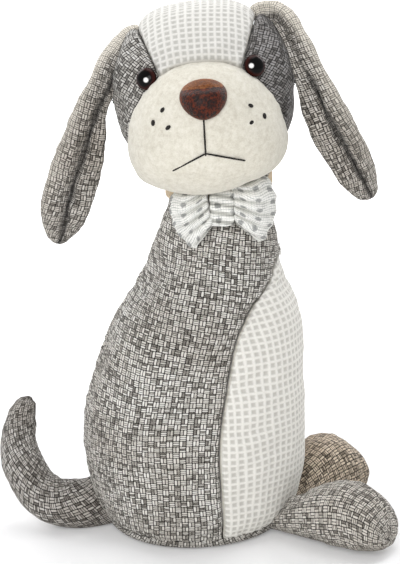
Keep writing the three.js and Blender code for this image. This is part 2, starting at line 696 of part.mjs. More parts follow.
// Tail and paws

function addTail() {
  const curve = new THREE.CatmullRomCurve3(TAIL_LINE.map((point) => new THREE.Vector3(...point)));
  const radius = profile(TAIL_RADII);
  const tail = sweep(curve, LOBE_STEPS, FACE_WAY, (at) =>
    ringOf(TAIL_SIDES, (turn) => direction(turn).map((side) => side * radius(at))),
  );
  addPiece(dog, "tail", solidOf(tail).subtract(bodySpace), TWEED);
}

function addPaws() {
  const width = profile(PAW_WIDTHS);
  const rise = profile(PAW_HEIGHTS);
  for (const { name, root, angle, length, height } of PAWS) {
    const rings = PAW_RINGS.map((at) =>
      ringOf(PAW_SIDES, (turn) => {
        const [cos, sin] = direction(turn).map((side) => power(side, PAW_SQUARENESS));
        const high = height * rise(at);
        const lift = (height - high) * 0.35 * at;
        const ridge = sin > 0.99 ? PAW_SEAM : 0;
        const z = Math.max(0, lift + (high / 2) * (1.04 + sin) + ridge);
        return new THREE.Vector3(length * at, PAW_HALF_WIDTH * width(at) * cos, z);
      }),
    );
    const paw = loft(rings).rotateZ(radians(angle)).translate(root.x, root.y, 0);
    addPiece(dog, name, solidOf(paw).subtract(bodySpace), TWEED);
  }
}

// Neck band and bow

function addNeckBand() {
  const ring = (level) =>
    ringOf(BODY_SIDES, (turn) => {
      const middle = bodyForm.point(turn, level);
      const height = level + (middle.x - BOW_PLACE.x) * Math.tan(radians(BOW_TILT));
      return bodyForm.point(turn, height, -BAND_OUT);
    });
  const rings = [-0.5, 0, 0.5].map((part) => ring(BAND_LEVEL + BAND_HEIGHT * part));
  const neck = bodyForm.solid(BAND_THICKNESS - BAND_OUT, BODY_SIDES);
  addPiece(dog, "neck_band", solidOf(loft(rings)).subtract(neck).subtract(headSpaceInBody), TAPE);
}

function addBow() {
  const bow = new THREE.Group();
  const out = bodyDepth(BOW_PLACE.z) + BAND_OUT + CLEARANCE;
  bow.position.set(BOW_PLACE.x, -out - KNOT_SIZE.y / 2, BOW_PLACE.z);
  bow.rotation.y = -radians(BOW_TILT);
  bow.updateMatrix();
  dog.add(bow);
  const behind = headSpaceInBody.add(bodyForm.solid(-BAND_OUT - CLEARANCE, 2 * BODY_SIDES));
  const cutter = behind.transform(bow.matrix.clone().invert().elements);
  const section = (halfDepth, halfHeight, wave = () => 0) =>
    ringOf(BOW_SIDES, (turn) => {
      const [cos, sin] = direction(turn);
      return { y: halfDepth * power(sin, 0.7) * (1 + wave(cos)), z: halfHeight * cos };
    });
  const half = KNOT_SIZE.x / 2;
  const knot = [-1, -0.86, 0, 0.86, 1].map((at) => {
    const full = 1 - 0.16 * at ** 8;
    return section((KNOT_SIZE.y / 2) * full, (KNOT_SIZE.z / 2) * full).map(
      ({ y, z }) => new THREE.Vector3(half * at, y, z),
    );
  });
  addPiece(bow, "bow_knot", loft(knot), SPOTTED);
  for (const { name, middle, spread } of WINGS) {
    const side = Math.sign(Math.cos(radians(middle)));
    const rings = WING_RINGS.map((at) => {
      const radius = WING_NECK + (WING_REACH - WING_NECK) * at;
      const deep = WING_RIM + WING_PUFF * Math.sin(Math.PI * (at * 0.9 + 0.05)) * (1 - at ** 8);
      const wave = (cos) => 0.22 * (1 - at * 0.6) * Math.cos(WING_PLEATS * Math.PI * cos);
      return section(deep, 1, wave).map(({ y, z }) => {
        const angle = radians(middle + spread * z * side);
        const x = Math.max(WING_ROOT + side * radius * Math.cos(angle), half + CLEARANCE);
        return new THREE.Vector3(side * x, y + WING_SWEEP * at ** 2, radius * Math.sin(angle));
      });
    });
    addPiece(bow, name, solidOf(loft(rings)).subtract(cutter), SPOTTED);
  }
}

addBodyCover();
addBasePanel();
addBodyFilling();
addHeadCover();
addEyes();
addNose();
addStitches();
addEars();
addTail();
addPaws();
addNeckBand();
addBow();

export default dog;
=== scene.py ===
"""A weighted cloth dog that holds a door open: its fabrics, stuffing, stitching, light and camera.

Shapes are worked out in millimetres in the frame's own axes, and become metres where a mesh is made.
"""

import logging
import math
from dataclasses import dataclass, field
from enum import Enum
from typing import Any, Callable, Sequence

import bpy
import numpy as np
from mathutils import Matrix, Vector


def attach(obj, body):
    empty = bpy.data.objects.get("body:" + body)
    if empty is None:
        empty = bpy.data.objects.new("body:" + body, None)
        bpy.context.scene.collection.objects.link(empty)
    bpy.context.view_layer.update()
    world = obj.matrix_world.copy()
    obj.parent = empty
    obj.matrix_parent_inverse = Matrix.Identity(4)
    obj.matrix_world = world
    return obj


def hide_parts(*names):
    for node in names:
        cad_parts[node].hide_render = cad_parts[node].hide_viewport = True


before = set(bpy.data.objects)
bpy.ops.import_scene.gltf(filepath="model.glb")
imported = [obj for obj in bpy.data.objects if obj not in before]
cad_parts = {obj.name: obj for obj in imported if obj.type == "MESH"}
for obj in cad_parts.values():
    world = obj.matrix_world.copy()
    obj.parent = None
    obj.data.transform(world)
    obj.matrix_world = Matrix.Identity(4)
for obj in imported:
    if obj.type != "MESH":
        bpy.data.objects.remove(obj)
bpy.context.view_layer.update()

LOG = logging.getLogger("door_stop")
MM = 0.001  # one millimetre in metres
SETTLE_FRAMES = 20
WANDER = 0.7  # how far the threads of a cloth stray, in millimetres
SEAM_ROWS = (0, 0.7, 1.7, 3.4)  # distances from a seam at which a panel has its close rows
RIM = SEAM_ROWS[-1]
TUCK = 2.2  # how deep a seam draws the cloth in
FAR = 99.0  # a distance that no seam reaches
HELD = 2.5  # cloth this near to a seam is held while the stuffing settles
TAKEN_BACK = 0.85  # share of the usual move that is taken back, so that a piece keeps its size
WAVES = 18  # directions that soft random waves are made of
SEAMLESS: dict[str, Any] = {"levels": 1, "pucker": 0}  # for pieces that have no seam to gather

Array = np.ndarray
Node = bpy.types.Node
Options = dict[Any, Any]
Point = tuple[float, float, float]
Stops = Sequence[tuple[float, str]]


# Shapes


class Profile:
    """A smooth curve through values given at rising stations."""

    def __init__(self, stations: Sequence[float], values: Sequence[Any]) -> None:
        """Works out the slope at each station.

        Args:
            stations: Rising positions.
            values: A number or a point for each station.
        """
        self.stations = np.array(stations, float)
        self.values = np.array(values, float)
        steps = np.diff(self.stations).reshape((-1,) + (1,) * (self.values.ndim - 1))
        slopes = np.diff(self.values, axis=0) / steps
        self.slopes = np.concatenate([slopes[:1], (slopes[1:] + slopes[:-1]) / 2, slopes[-1:]])

    def __call__(self, at: Any) -> Array:
        """The value at each position.

        Args:
            at: One position or an array of them.

        Returns:
            The values, with the shape of the positions first.
        """
        at = np.clip(np.asarray(at, float), self.stations[0], self.stations[-1])
        i = np.clip(np.searchsorted(self.stations, at, side="right") - 1, 0, len(self.stations) - 2)
        step = self.stations[i + 1] - self.stations[i]
        t = (at - self.stations[i]) / step
        if self.values.ndim > 1:
            step, t = step[..., None], t[..., None]
        start, end = self.values[i], self.values[i + 1]
        bend_in, bend_out = self.slopes[i] * step, self.slopes[i + 1] * step
        return (
            (2 * t**3 - 3 * t**2 + 1) * start
            + (t**3 - 2 * t**2 + t) * bend_in
            + (-2 * t**3 + 3 * t**2) * end
            + (t**3 - t**2) * bend_out
        )


def spread(*parts: Any) -> Array:
    """Stacks x, y and z arrays of any matching shapes into points."""
    return np.stack(np.broadcast_arrays(*[np.asarray(part, float) for part in parts]), -1)


def unit(vectors: Array) -> Array:
    """Vectors with a length of one."""
    return vectors / np.maximum(np.linalg.norm(vectors, axis=-1, keepdims=True), 1e-9)


def power(value: Array, exponent: float) -> Array:
    """A power that keeps the sign."""
    return np.sign(value) * np.abs(value) ** exponent


def ease(value: Any, low: float, high: float) -> Array:
    """0 below low, 1 above high and smooth between them."""
    t = np.clip((np.asarray(value, float) - low) / (high - low), 0, 1)
    return t * t * (3 - 2 * t)


def ripples(points: Array, size: float, seed: int) -> Array:
    """Soft random waves, about -1 to 1.

    Args:
        points: Places in millimetres.
        size: Length of a wave in millimetres.
        seed: Fixed start of the random directions.

    Returns:
        A height for each place.
    """
    source = np.random.default_rng(seed)
    total = np.zeros(points.shape[:-1])
    for _ in range(WAVES):
        way = unit(source.normal(size=3)) * source.uniform(0.7, 1.4)
        total += np.sin(points @ way * (2 * np.pi / size) + source.uniform(0, 2 * np.pi))
    return total / 4.2  # about the square root of their number


def run_of(points: Array, axis: int) -> Array:
    """Length along a grid from its first row or column.

    Args:
        points: Rows x columns x 3.
        axis: 0 down the rows or 1 along the columns.

    Returns:
        Rows x columns of lengths.
    """
    steps = np.linalg.norm(np.diff(points, axis=axis), axis=-1)
    pad = [(0, 0), (0, 0)]
    pad[axis] = (1, 0)
    return np.pad(np.cumsum(steps, axis=axis), pad)


def seam_steps(width: float, pitch: float) -> Array:
    """Shares of a width for the rows of a panel, close together at its two seams.

    Args:
        width: Usual width between the seams.
        pitch: Distance between rows away from them.

    Returns:
        Distances from the first seam, up to the width.
    """
    count = max(2, round((width - 2 * RIM) / pitch))
    middle = np.linspace(RIM, width - RIM, count + 1)[1:-1]
    return np.array([*SEAM_ROWS, *middle, *[width - step for step in reversed(SEAM_ROWS)]])


def fitted(steps: Array, width: Array, share: float) -> Array:
    """The steps between two seams, fitted to a width that changes.

    Args:
        steps: Distances from the first seam at the usual width.
        width: The width at each row.
        share: The most of the width that the close steps at one seam may take.

    Returns:
        A distance from the first seam for each row and step.
    """
    inner = steps[-1] - 2 * RIM
    rim = np.minimum(RIM, width * share)
    ends = np.minimum(steps, RIM) + np.clip(steps - RIM - inner, 0, RIM)
    return ends / RIM * rim + np.clip(steps - RIM, 0, inner) / inner * (width - 2 * rim)


def rejoined(grid: Array) -> Array:
    """A grid with its first column again at its end."""
    return np.concatenate([grid, grid[:, :1]], axis=1)


def turns(count: int) -> Array:
    """Even angles all the way round, in radians."""
    return np.radians(np.arange(count) * 360 / count)


def fan(off: Array, turn: Array) -> Array:
    """Directions at angles off the front, turned about it."""
    return spread(np.sin(off) * np.cos(turn), -np.cos(off) + 0 * turn, np.sin(off) * np.sin(turn))


def tuck(distance: Array, depth: Any = TUCK) -> Array:
    """How far cloth is drawn in at a distance from its seam: a sharp dip in a wide shallow one."""
    return depth * np.exp(-((np.abs(distance) / 1.5) ** 1.6)) + 0.35 * np.exp(-np.abs(distance) / 6)


@dataclass
class Sheet:
    """A grid of points with the directions of its cloth.

    Attributes:
        points: Rows x columns x 3, in millimetres.
        weave: Rows x columns x 2 in millimetres of cloth, with one more column where it is wrapped.
        seam: Distance of each point from its nearest seam.
        run: Distance of each point along that seam.
        wrapped: The last column joins the first.
        closed: The first and last rows are closed off.
        inside: A point that the sheet's back faces, for a sheet that is open.
        tone: A share from 0 to 1 that a finish may read.
    """

    points: Array
    weave: Array
    seam: Array
    run: Array
    wrapped: bool = False
    closed: tuple[bool, bool] = (False, False)
    inside: Point | None = None
    tone: Array | None = None

    def _wandering(self) -> Array:
        """The weave with the slow wander that sewn cloth has."""
        spots = rejoined(self.points) if self.wrapped else self.points
        return self.weave + WANDER * spread(ripples(spots, 45, 1), ripples(spots, 45, 2))

    def mesh(self, name: str) -> bpy.types.Object:
        """Makes the sheet an object.

        Args:
            name: The object's name.

        Returns:
            An object at the origin with a weave map and its seam attributes.
        """
        rows, columns = self.points.shape[:2]
        places = self.points.reshape(-1, 3)
        weave = self._wandering()
        values = {"seam": self.seam.ravel(), "run": self.run.ravel()}
        values["across"], values["along"] = weave[:, :columns, 0].ravel(), weave[:, :columns, 1].ravel()
        values["tone"] = np.zeros(rows * columns) if self.tone is None else self.tone.ravel()
        faces, corners = [], []
        for i in range(rows - 1):
            for j in range(columns if self.wrapped else columns - 1):
                cells = ((i, j), (i, j + 1), (i + 1, j + 1), (i + 1, j))
                faces.append([r * columns + c % columns for r, c in cells])
                corners.append([weave[r, c] for r, c in cells])
        for end, row in zip(self.closed, (0, rows - 1)):
            if not end:
                continue
            middle = self.points[row].mean(0)
            centre = len(places)
            places = np.vstack([places, middle])
            for key, value in values.items():
                values[key] = np.append(value, value.reshape(-1)[row * columns : (row + 1) * columns].mean())
            heart = weave[row].mean(0)
            for j in range(columns):
                face = [row * columns + j, row * columns + (j + 1) % columns, centre]
                corner = [weave[row, j], weave[row, j + 1], heart]
                faces.append(face if row else face[::-1])
                corners.append(corner if row else corner[::-1])
        if self._turned_in(places, faces):
            faces = [face[::-1] for face in faces]
            corners = [corner[::-1] for corner in corners]
        mesh = bpy.data.meshes.new(name)
        mesh.from_pydata(places * MM, [], faces)
        layer = mesh.uv_layers.new(name="weave")
        layer.data.foreach_set("uv", np.array([uv for corner in corners for uv in corner]).ravel())
        for key, value in values.items():
            mesh.attributes.new(key, "FLOAT", "POINT").data.foreach_set("value", value)
        mesh.shade_smooth()
        piece = bpy.data.objects.new(name, mesh)
        bpy.context.scene.collection.objects.link(piece)
        return piece

    def _turned_in(self, places: Array, faces: list[list[int]]) -> bool:
        """True where the faces look inwards."""
        inside = np.array(self.inside) if self.inside else places.mean(0)
        first = np.array([places[face[:3]] for face in faces]) - inside
        return float(np.einsum("ij,ij->i", first[:, 0], np.cross(first[:, 1], first[:, 2])).sum()) < 0


def skin(heart: Any, ways: Array, outside: Callable[[Array], Array], low: float, high: float) -> Array:
    """Where rays from a point come out of a form.

    Args:
        heart: The point inside.
        ways: Directions, in the lengths that low and high count in.
        outside: True for points outside the form.
        low: A share of each direction that is inside.
        high: A share that is outside.

    Returns:
        A point on the form for each direction.
    """
    near, far = np.full(ways.shape[:-1], low), np.full(ways.shape[:-1], high)
    for _ in range(24):
        middle = (near + far) / 2
        out = outside(heart + ways * middle[..., None])
        far, near = np.where(out, middle, far), np.where(out, near, middle)
    return heart + ways * near[..., None]


@dataclass
class Ball:
    """A stuffed ball whose outline seen from the front is a squared-off ellipse."""

    centre: Point
    radii: Point
    squareness: float
    pear: float

    def level(self, points: Array) -> Array:
        """1 on the surface, less inside."""
        x, y, z = np.moveaxis((points - self.centre) / self.radii, -1, 0)
        wide = np.abs(x / (1 - self.pear * z)) ** self.squareness
        return (wide + np.abs(z) ** self.squareness) ** (2 / self.squareness) + y * y

    def reach(self, ways: Array) -> Array:
        """The surface point in each direction from the centre.

        Args:
            ways: Directions in the ball's own unit space.

        Returns:
            Points in millimetres.
        """
        return skin(self.centre, unit(ways) * self.radii, lambda points: self.level(points) > 1, 0.5, 1.7)

    def inner(self, depth: float) -> "Ball":
        """The same ball, a depth further in."""
        return Ball(self.centre, tuple(radius - depth for radius in self.radii), self.squareness, self.pear)

    def normal(self, points: Array) -> Array:
        """The outward direction at each point."""
        step = np.eye(3) * 0.02
        return unit(spread(*[self.level(points + s) - self.level(points - s) for s in step]))

    def front(self, x: Any, z: Any) -> Array:
        """The front of the surface, seen from the front at x, z."""
        flat = spread(x, self.centre[1], z)
        rise = np.sqrt(np.maximum(0, 1 - self.level(flat)))
        return flat - spread(0, self.radii[1] * rise, 0)

    def gap(self, points: Array) -> Array:
        """About how far each point is outside the surface."""
        return (np.sqrt(self.level(points)) - 1) * min(self.radii)


def placed(points: Array, matrix: Matrix) -> Array:
    """Points moved by a matrix in millimetres."""
    return points @ np.array(matrix.to_3x3()).T + np.array(matrix.translation)


# Nodes


def add_node(tree: bpy.types.NodeTree, kind: str, settings: Options, sockets: Options) -> Node:
    """Adds a node to a tree.

    Args:
        tree: The tree.
        kind: The node's type.
        settings: Properties, which are set first.
        sockets: Values or other nodes' outputs, by the input's name or number.

    Returns:
        The node.
    """
    made = tree.nodes.new(kind)
    for key, value in settings.items():
        setattr(made, key, value)
    for key, value in sockets.items():
        plug(tree, made.inputs[key], value)
    return made


def plug(tree: bpy.types.NodeTree, socket: bpy.types.NodeSocket, value: Any) -> None:
    """Links a socket to another node's output, or sets its value."""
    if isinstance(value, bpy.types.NodeSocket):
        tree.links.new(value, socket)
    else:
        socket.default_value = value


def linear(code: str) -> tuple[float, float, float, float]:
    """A shader colour from the way it is written for a screen.

    Args:
        code: Six hexadecimal digits.

    Returns:
        Red, green, blue and 1, linear.
    """
    parts = [int(code[i : i + 2], 16) / 255 for i in (0, 2, 4)]
    return (*[p / 12.92 if p <= 0.04045 else ((p + 0.055) / 1.055) ** 2.4 for p in parts], 1.0)


def socket_of(value: Any) -> Any:
    """A wire's socket, or any other value as it is."""
    return value.socket if isinstance(value, Wire) else value


@dataclass
class Wire:
    """An output socket that can be used in arithmetic."""

    bench: "Bench"
    socket: bpy.types.NodeSocket

    def __add__(self, other: "Wire | float") -> "Wire":
        """Sum of the two."""
        return self.bench.maths("ADD", self, other)

    def __radd__(self, other: float) -> "Wire":
        """Sum of the two."""
        return self.bench.maths("ADD", other, self)

    def __sub__(self, other: "Wire | float") -> "Wire":
        """Difference of the two."""
        return self.bench.maths("SUBTRACT", self, other)

    def __rsub__(self, other: float) -> "Wire":
        """Difference of the two."""
        return self.bench.maths("SUBTRACT", other, self)

    def __mul__(self, other: "Wire | float") -> "Wire":
        """Product of the two."""
        return self.bench.maths("MULTIPLY", self, other)

    def __rmul__(self, other: float) -> "Wire":
        """Product of the two."""
        return self.bench.maths("MULTIPLY", other, self)

    def __truediv__(self, other: "Wire | float") -> "Wire":
        """Quotient of the two."""
        return self.bench.maths("DIVIDE", self, other)


class Bench:
    """The nodes of a material, or of the world, while they are being wired."""

    def __init__(self, name: str, store: Any = None, shader: str = "Principled BSDF") -> None:
        """Starts a material or world with its own shader.

        Args:
            name: Its name.
            store: Where it is kept, the materials unless given.
            shader: The shader node that it starts with.
        """
        self.owner = (bpy.data.materials if store is None else store).new(name)
        self.owner.use_nodes = True
        self.tree = self.owner.node_tree
        self.shader = self.tree.nodes[shader]

    def node(self, kind: str, settings: Options, sockets: Options, out: Any = 0) -> Wire:
        """Adds a node.

        Args:
            kind: The node's type.
            settings: Properties, which are set first.
            sockets: Values or wires by the input's name or number.
            out: The output's name or number.

        Returns:
            The chosen output.
        """
        given = {key: socket_of(value) for key, value in sockets.items()}
        return Wire(self, add_node(self.tree, kind, settings, given).outputs[out])

    def maths(self, operation: str, *values: Any) -> Wire:
        """Adds a Math node."""
        return self.node("ShaderNodeMath", {"operation": operation}, dict(enumerate(values)))

    def split(self, vector: Wire) -> tuple[Wire, Wire, Wire]:
        """The x, y and z of a vector."""
        first = self.node("ShaderNodeSeparateXYZ", {}, {0: vector})
        return first, *[Wire(self, first.socket.node.outputs[i]) for i in (1, 2)]

    def join(self, x: Any, y: Any, z: Any = 0.0) -> Wire:
        """A vector from its x, y and z."""
        return self.node("ShaderNodeCombineXYZ", {}, {0: x, 1: y, 2: z})

    def cloth(self, angle: float = 0.0) -> tuple[Wire, Wire]:
        """Millimetres across and along the cloth, turned by an angle in degrees."""
        weave = self.node("ShaderNodeUVMap", {"uv_map": "weave"}, {})
        turned = self.node("ShaderNodeMapping", {}, {0: weave, 2: (0, 0, math.radians(angle))})
        return self.split(turned)[:2]

    def place(self) -> Wire:
        """The point's own place in metres."""
        return self.node("ShaderNodeTexCoord", {}, {}, "Object")

    def value(self, name: str) -> Wire:
        """A number that the mesh carries."""
        return self.node("ShaderNodeAttribute", {"attribute_name": name}, {}, "Fac")

    def noise(self, vector: Wire, scale: float, detail: float = 2.0, roughness: float = 0.5) -> Wire:
        """Cloudy noise from 0 to 1."""
        sockets = {"Vector": vector, "Scale": scale, "Detail": detail, "Roughness": roughness}
        return self.node("ShaderNodeTexNoise", {}, sockets)

    def ramp(self, value: Wire, stops: Stops) -> Wire:
        """A colour from a number."""
        made = self.node("ShaderNodeValToRGB", {}, {0: value})
        elements = made.socket.node.color_ramp.elements
        while len(elements) < len(stops):
            elements.new(1.0)
        for element, (at, code) in zip(elements, stops):
            element.position = at
            element.color = linear(code)
        return made

    def step(self, value: Wire, low: float, high: float) -> Wire:
        """0 below low, 1 above high and smooth between them."""
        sockets = {"Value": value, "From Min": low, "From Max": high}
        return self.node("ShaderNodeMapRange", {"interpolation_type": "SMOOTHSTEP"}, sockets)

    def blend(self, share: Any, first: Any, second: Any, kind: str = "MIX") -> Wire:
        """Two colours mixed by a share."""
        settings = {"data_type": "RGBA", "blend_type": kind}
        return self.node("ShaderNodeMix", settings, {0: share, 6: first, 7: second}, 2)

    def times(self, colour: Any, *others: Any) -> Wire:
        """Colours multiplied together."""
        for other in others:
            colour = self.blend(1.0, colour, other, "MULTIPLY")
        return colour

    def threads(self, value: Wire, pitch: float = 1.0) -> Wire:
        """0 between threads and 1 on top of them."""
        return self.maths("ABSOLUTE", self.maths("SINE", value * (math.pi / pitch)))

    def between(self, value: Wire) -> Wire:
        """0 at whole numbers and 1 half-way between them."""
        return self.maths("PINGPONG", value, 0.5) * 2.0

    def either(self, share: Wire, first: Wire, second: Wire) -> Wire:
        """Two numbers mixed by a share."""
        return first + share * (second - first)

    def bump(self, height: Wire, depth: float, strength: float = 1.0) -> Wire:
        """A normal from a height between 0 and 1.

        Args:
            height: The height.
            depth: What a height of 1 is, in millimetres.
            strength: Share of the effect.

        Returns:
            The normal.
        """
        sockets = {"Strength": strength, "Distance": depth * MM, "Height": height}
        return self.node("ShaderNodeBump", {}, sockets)

    def finish(self, **sockets: Any) -> Any:
        """Sets the shader's own sockets, named with underscores, and returns the material or world."""
        for key, value in sockets.items():
            plug(self.tree, self.shader.inputs[key.replace("_", " ")], socket_of(value))
        return self.owner


# Looks


@dataclass(frozen=True)
class Tweed:
    """Basket-woven tweed of flecked yarns."""

    angle: float = 0.0
    # Colour that the cloth is multiplied by: its own tint, and for some pieces a darker copy that is painted
    # shade.
    tint_and_shade: str = "ebebea"
    # Colour and reach, in millimetres, of the painted shade along the seams and creases.
    seam_shade: str = "77716b"
    seam_shade_reach: float = 1.0
    width: float = 3.3
    height: float = 3.0
    weft: float = 3.0
    warp: float = 2.0
    rise: float = 0.34

    def relief(self, x: Array, y: Array) -> Array:
        """Height of the blocks in millimetres, as real shape."""
        lean = math.radians(self.angle)
        x, y = x * math.cos(lean) - y * math.sin(lean), x * math.sin(lean) + y * math.cos(lean)
        across, along = x / self.width, y / self.height
        over = np.mod(np.floor(across) + np.floor(along), 2) > 0.5
        rounds = [ease(np.abs(v - np.round(v)) * 2, 0, 0.7) for v in (across, along)]
        return self.rise * (np.where(over, rounds[1] * (0.5 + 0.5 * rounds[0]), rounds[0]) - 0.6)

    def material(self, name: str) -> bpy.types.Material:
        """Wires the weave: blocks of parallel yarns that pass over and under each other."""
        b = Bench(name)
        x, y = b.cloth(self.angle)
        across, along = x / self.width, y / self.height
        column, row = b.maths("FLOOR", across), b.maths("FLOOR", along)
        over = b.maths("FLOORED_MODULO", column + row, 2.0)
        flat = self._yarns(b, across, along, self.weft, 3.0)
        upright = self._yarns(b, along, across, self.warp, 41.0)
        height = b.either(over, flat[0], upright[0])
        twist = b.noise(b.join(x, y, 7.0), 1.6, 2.0)
        tone = b.either(over, flat[1], upright[1]) * 0.6 + twist * 0.5 - 0.06
        cloth = b.ramp(
            tone,
            [(0.1, "44413e"), (0.25, "97938d"), (0.42, "dcd9d3"), (0.58, "faf7f2"), (0.8, "fffefb")],
        )
        # Painted shade: the gaps between yarns, and the block ends that dive under their neighbours, are
        # darkened by their height.
        gap = b.ramp(height, [(0.0, "050404"), (0.32, "45413e"), (0.6, "ffffff")])
        # Painted shade: the cloth darkens towards its seams and creases.
        seam_shade = b.ramp(b.value("seam") / self.seam_shade_reach, [(0.0, self.seam_shade), (1.0, "ffffff")])
        slow = b.ramp(b.noise(b.place(), 22.0, 2.0), [(0.35, "e8e5e2"), (0.65, "ffffff")])
        colour = b.times(cloth, gap, seam_shade, slow, linear(self.tint_and_shade))
        # Painted light: where the tone attribute is set, the tops of the yarns are paled towards warm white,
        # as a painted rim light.
        pale = b.value("tone") * (0.25 + 0.6 * b.step(height, 0.1, 0.6))
        colour = b.blend(pale, colour, linear("f8f1e4"))
        hairs = b.noise(b.join(x, y, 3.0), 5.0, 2.0)
        return b.finish(
            Base_Color=colour,
            Roughness=0.95,
            Specular_IOR_Level=0.2,
            Sheen_Weight=0.1,
            Sheen_Roughness=0.6,
            Normal=b.bump(height * 0.9 + hairs * 0.1, 0.45, 0.8),
        )

    @staticmethod
    def _yarns(b: Bench, lengthways: Wire, sideways: Wire, count: float, seed: float) -> tuple[Wire, Wire]:
        """The height and tone of the yarns that run one way.

        Args:
            b: The bench.
            lengthways: Blocks along the yarns.
            sideways: Blocks across them.
            count: Yarns in a block.
            seed: What sets their tones apart.

        Returns:
            Height and tone, each from 0 to 1.
        """
        strand = sideways * count
        bundle = b.maths("POWER", b.threads(strand), 0.85)
        arch = b.step(b.between(lengthways), 0.0, 0.4)
        spot = b.join(b.maths("FLOOR", lengthways), b.maths("FLOOR", strand), seed)
        tone = b.node("ShaderNodeTexWhiteNoise", {"noise_dimensions": "3D"}, {"Vector": spot}, "Value")
        return bundle * (0.3 + 0.7 * arch), tone


@dataclass(frozen=True)
class Waffle:
    """White waffle cloth: raised ribs round sunken cells."""

    pitch: tuple[float, float] = (4.4, 3.75)
    rise: float = 0.4
    ramp: tuple[float, float] = (0.3, 0.92)
    thread: float = 0.72
    # Colours of the cells and of the ribs; the darker cells are painted shade in the hollows.
    cell_shade: str = "d0cec9"
    rib: str = "f8f7f3"

    def relief(self, x: Array, y: Array) -> Array:
        """Height of the ribs in millimetres, as real shape."""
        ribs = [ease(np.abs(v / p - np.round(v / p)) * 2, *self.ramp) for v, p in zip((x, y), self.pitch)]
        return self.rise * (np.maximum(*ribs) - 0.5)

    def material(self, name: str) -> bpy.types.Material:
        """Wires the ribs and cells."""
        b = Bench(name)
        x, y = b.cloth()
        ribs = [b.step(b.between(side / pitch), *self.ramp) for side, pitch in zip((x, y), self.pitch)]
        rib = b.maths("MAXIMUM", *ribs)
        fine = b.threads(x, self.thread) * b.threads(y, self.thread)
        soft = b.noise(b.join(x, y), 0.7, 2.0)
        # Painted shade: the sunken cells are coloured darker than the ribs.
        cells = b.ramp(rib + (soft - 0.5) * 0.35, [(0.0, self.cell_shade), (1.0, self.rib)])
        fleck = b.ramp(fine, [(0.0, "e9e7e2"), (0.5, "ffffff")])
        # Painted shade: the cloth darkens towards its seams.
        seam_shade = b.ramp(b.step(b.value("seam"), 0.0, 1.6), [(0.0, "c9c6bf"), (1.0, "ffffff")])
        return b.finish(
            Base_Color=b.times(cells, fleck, seam_shade),
            Roughness=0.95,
            Specular_IOR_Level=0.2,
            Sheen_Weight=0.2,
            Sheen_Roughness=0.6,
            Normal=b.bump(rib * 0.7 + fine * 0.2 + soft * 0.1, 0.35, 0.55),
        )


@dataclass(frozen=True)
class Fleece:
    """Cream fleece with a short curled pile."""

    colour: tuple[str, str, str] = ("cdc7b9", "dedacd", "ebe7dd")

    def material(self, name: str) -> bpy.types.Material:
        """Wires the pile."""
        b = Bench(name)
        place = b.place()
        curls = b.noise(place, 380.0, 3.0, 0.6)
        tufts = b.noise(place, 1300.0, 2.0, 0.6)
        clouds = b.noise(place, 60.0, 2.0)
        pile = curls * 0.62 + tufts * 0.38
        colour = b.ramp(
            pile * 0.8 + clouds * 0.2,
            [(0.34, self.colour[0]), (0.5, self.colour[1]), (0.66, self.colour[2])],
        )
        return b.finish(
            Base_Color=colour,
            Roughness=1.0,
            Specular_IOR_Level=0.15,
            Sheen_Weight=0.3,
            Sheen_Roughness=0.5,
            Normal=b.bump(pile, 0.7, 0.7),
        )


@dataclass(frozen=True)
class SpottedCotton:
    """White cotton with fine grey lines and ragged grey dots."""

    pitch: float = 8.6
    dot: float = 1.75
    lines: tuple[float, float] = (1.7, 1.45)

    def material(self, name: str) -> bpy.types.Material:
        """Wires the lines and the staggered dots."""
        b = Bench(name)
        x, y = b.cloth()
        row = b.maths("FLOOR", y / self.pitch)
        shift = b.maths("FLOORED_MODULO", row, 2.0) * 0.5
        cell_x = b.maths("FRACT", x / self.pitch + shift) - 0.5
        cell_y = b.maths("FRACT", y / self.pitch) - 0.5
        ragged = b.noise(b.join(x, y), 0.8, 3.0) - 0.5
        away = b.maths("SQRT", cell_x * cell_x + cell_y * cell_y) * self.pitch + ragged * 2.8
        dots = 1.0 - b.step(away, self.dot - 0.55, self.dot + 0.55)
        upright, level = [
            1.0 - b.step(b.threads(side, gap), 0.1, 0.6) for side, gap in zip((x, y), self.lines)
        ]
        patchy = b.step(b.noise(b.join(x, y, 5.0), 0.5, 2.0), 0.35, 0.6)
        lines = b.maths("MAXIMUM", upright * 0.8, level * 0.35) * (0.35 + 0.65 * patchy)
        grey = b.blend(lines, linear("f6f6f3"), linear("8b8e8d"))
        spotted = b.blend(dots * 0.68, grey, linear("66696a"))
        # Painted shade: the tone attribute darkens the bottoms of the pleats and the ends of the knot.
        pleat_shade = b.ramp(b.value("tone"), [(0.0, "5c5c59"), (0.35, "c9c9c5"), (0.8, "ffffff")])
        weave = b.noise(b.join(x, y), 2.6, 2.0)
        return b.finish(
            Base_Color=b.times(spotted, pleat_shade),
            Roughness=0.9,
            Specular_IOR_Level=0.25,
            Normal=b.bump(weave * 0.5 + (1.0 - lines) * 0.5, 0.3, 0.7),
        )


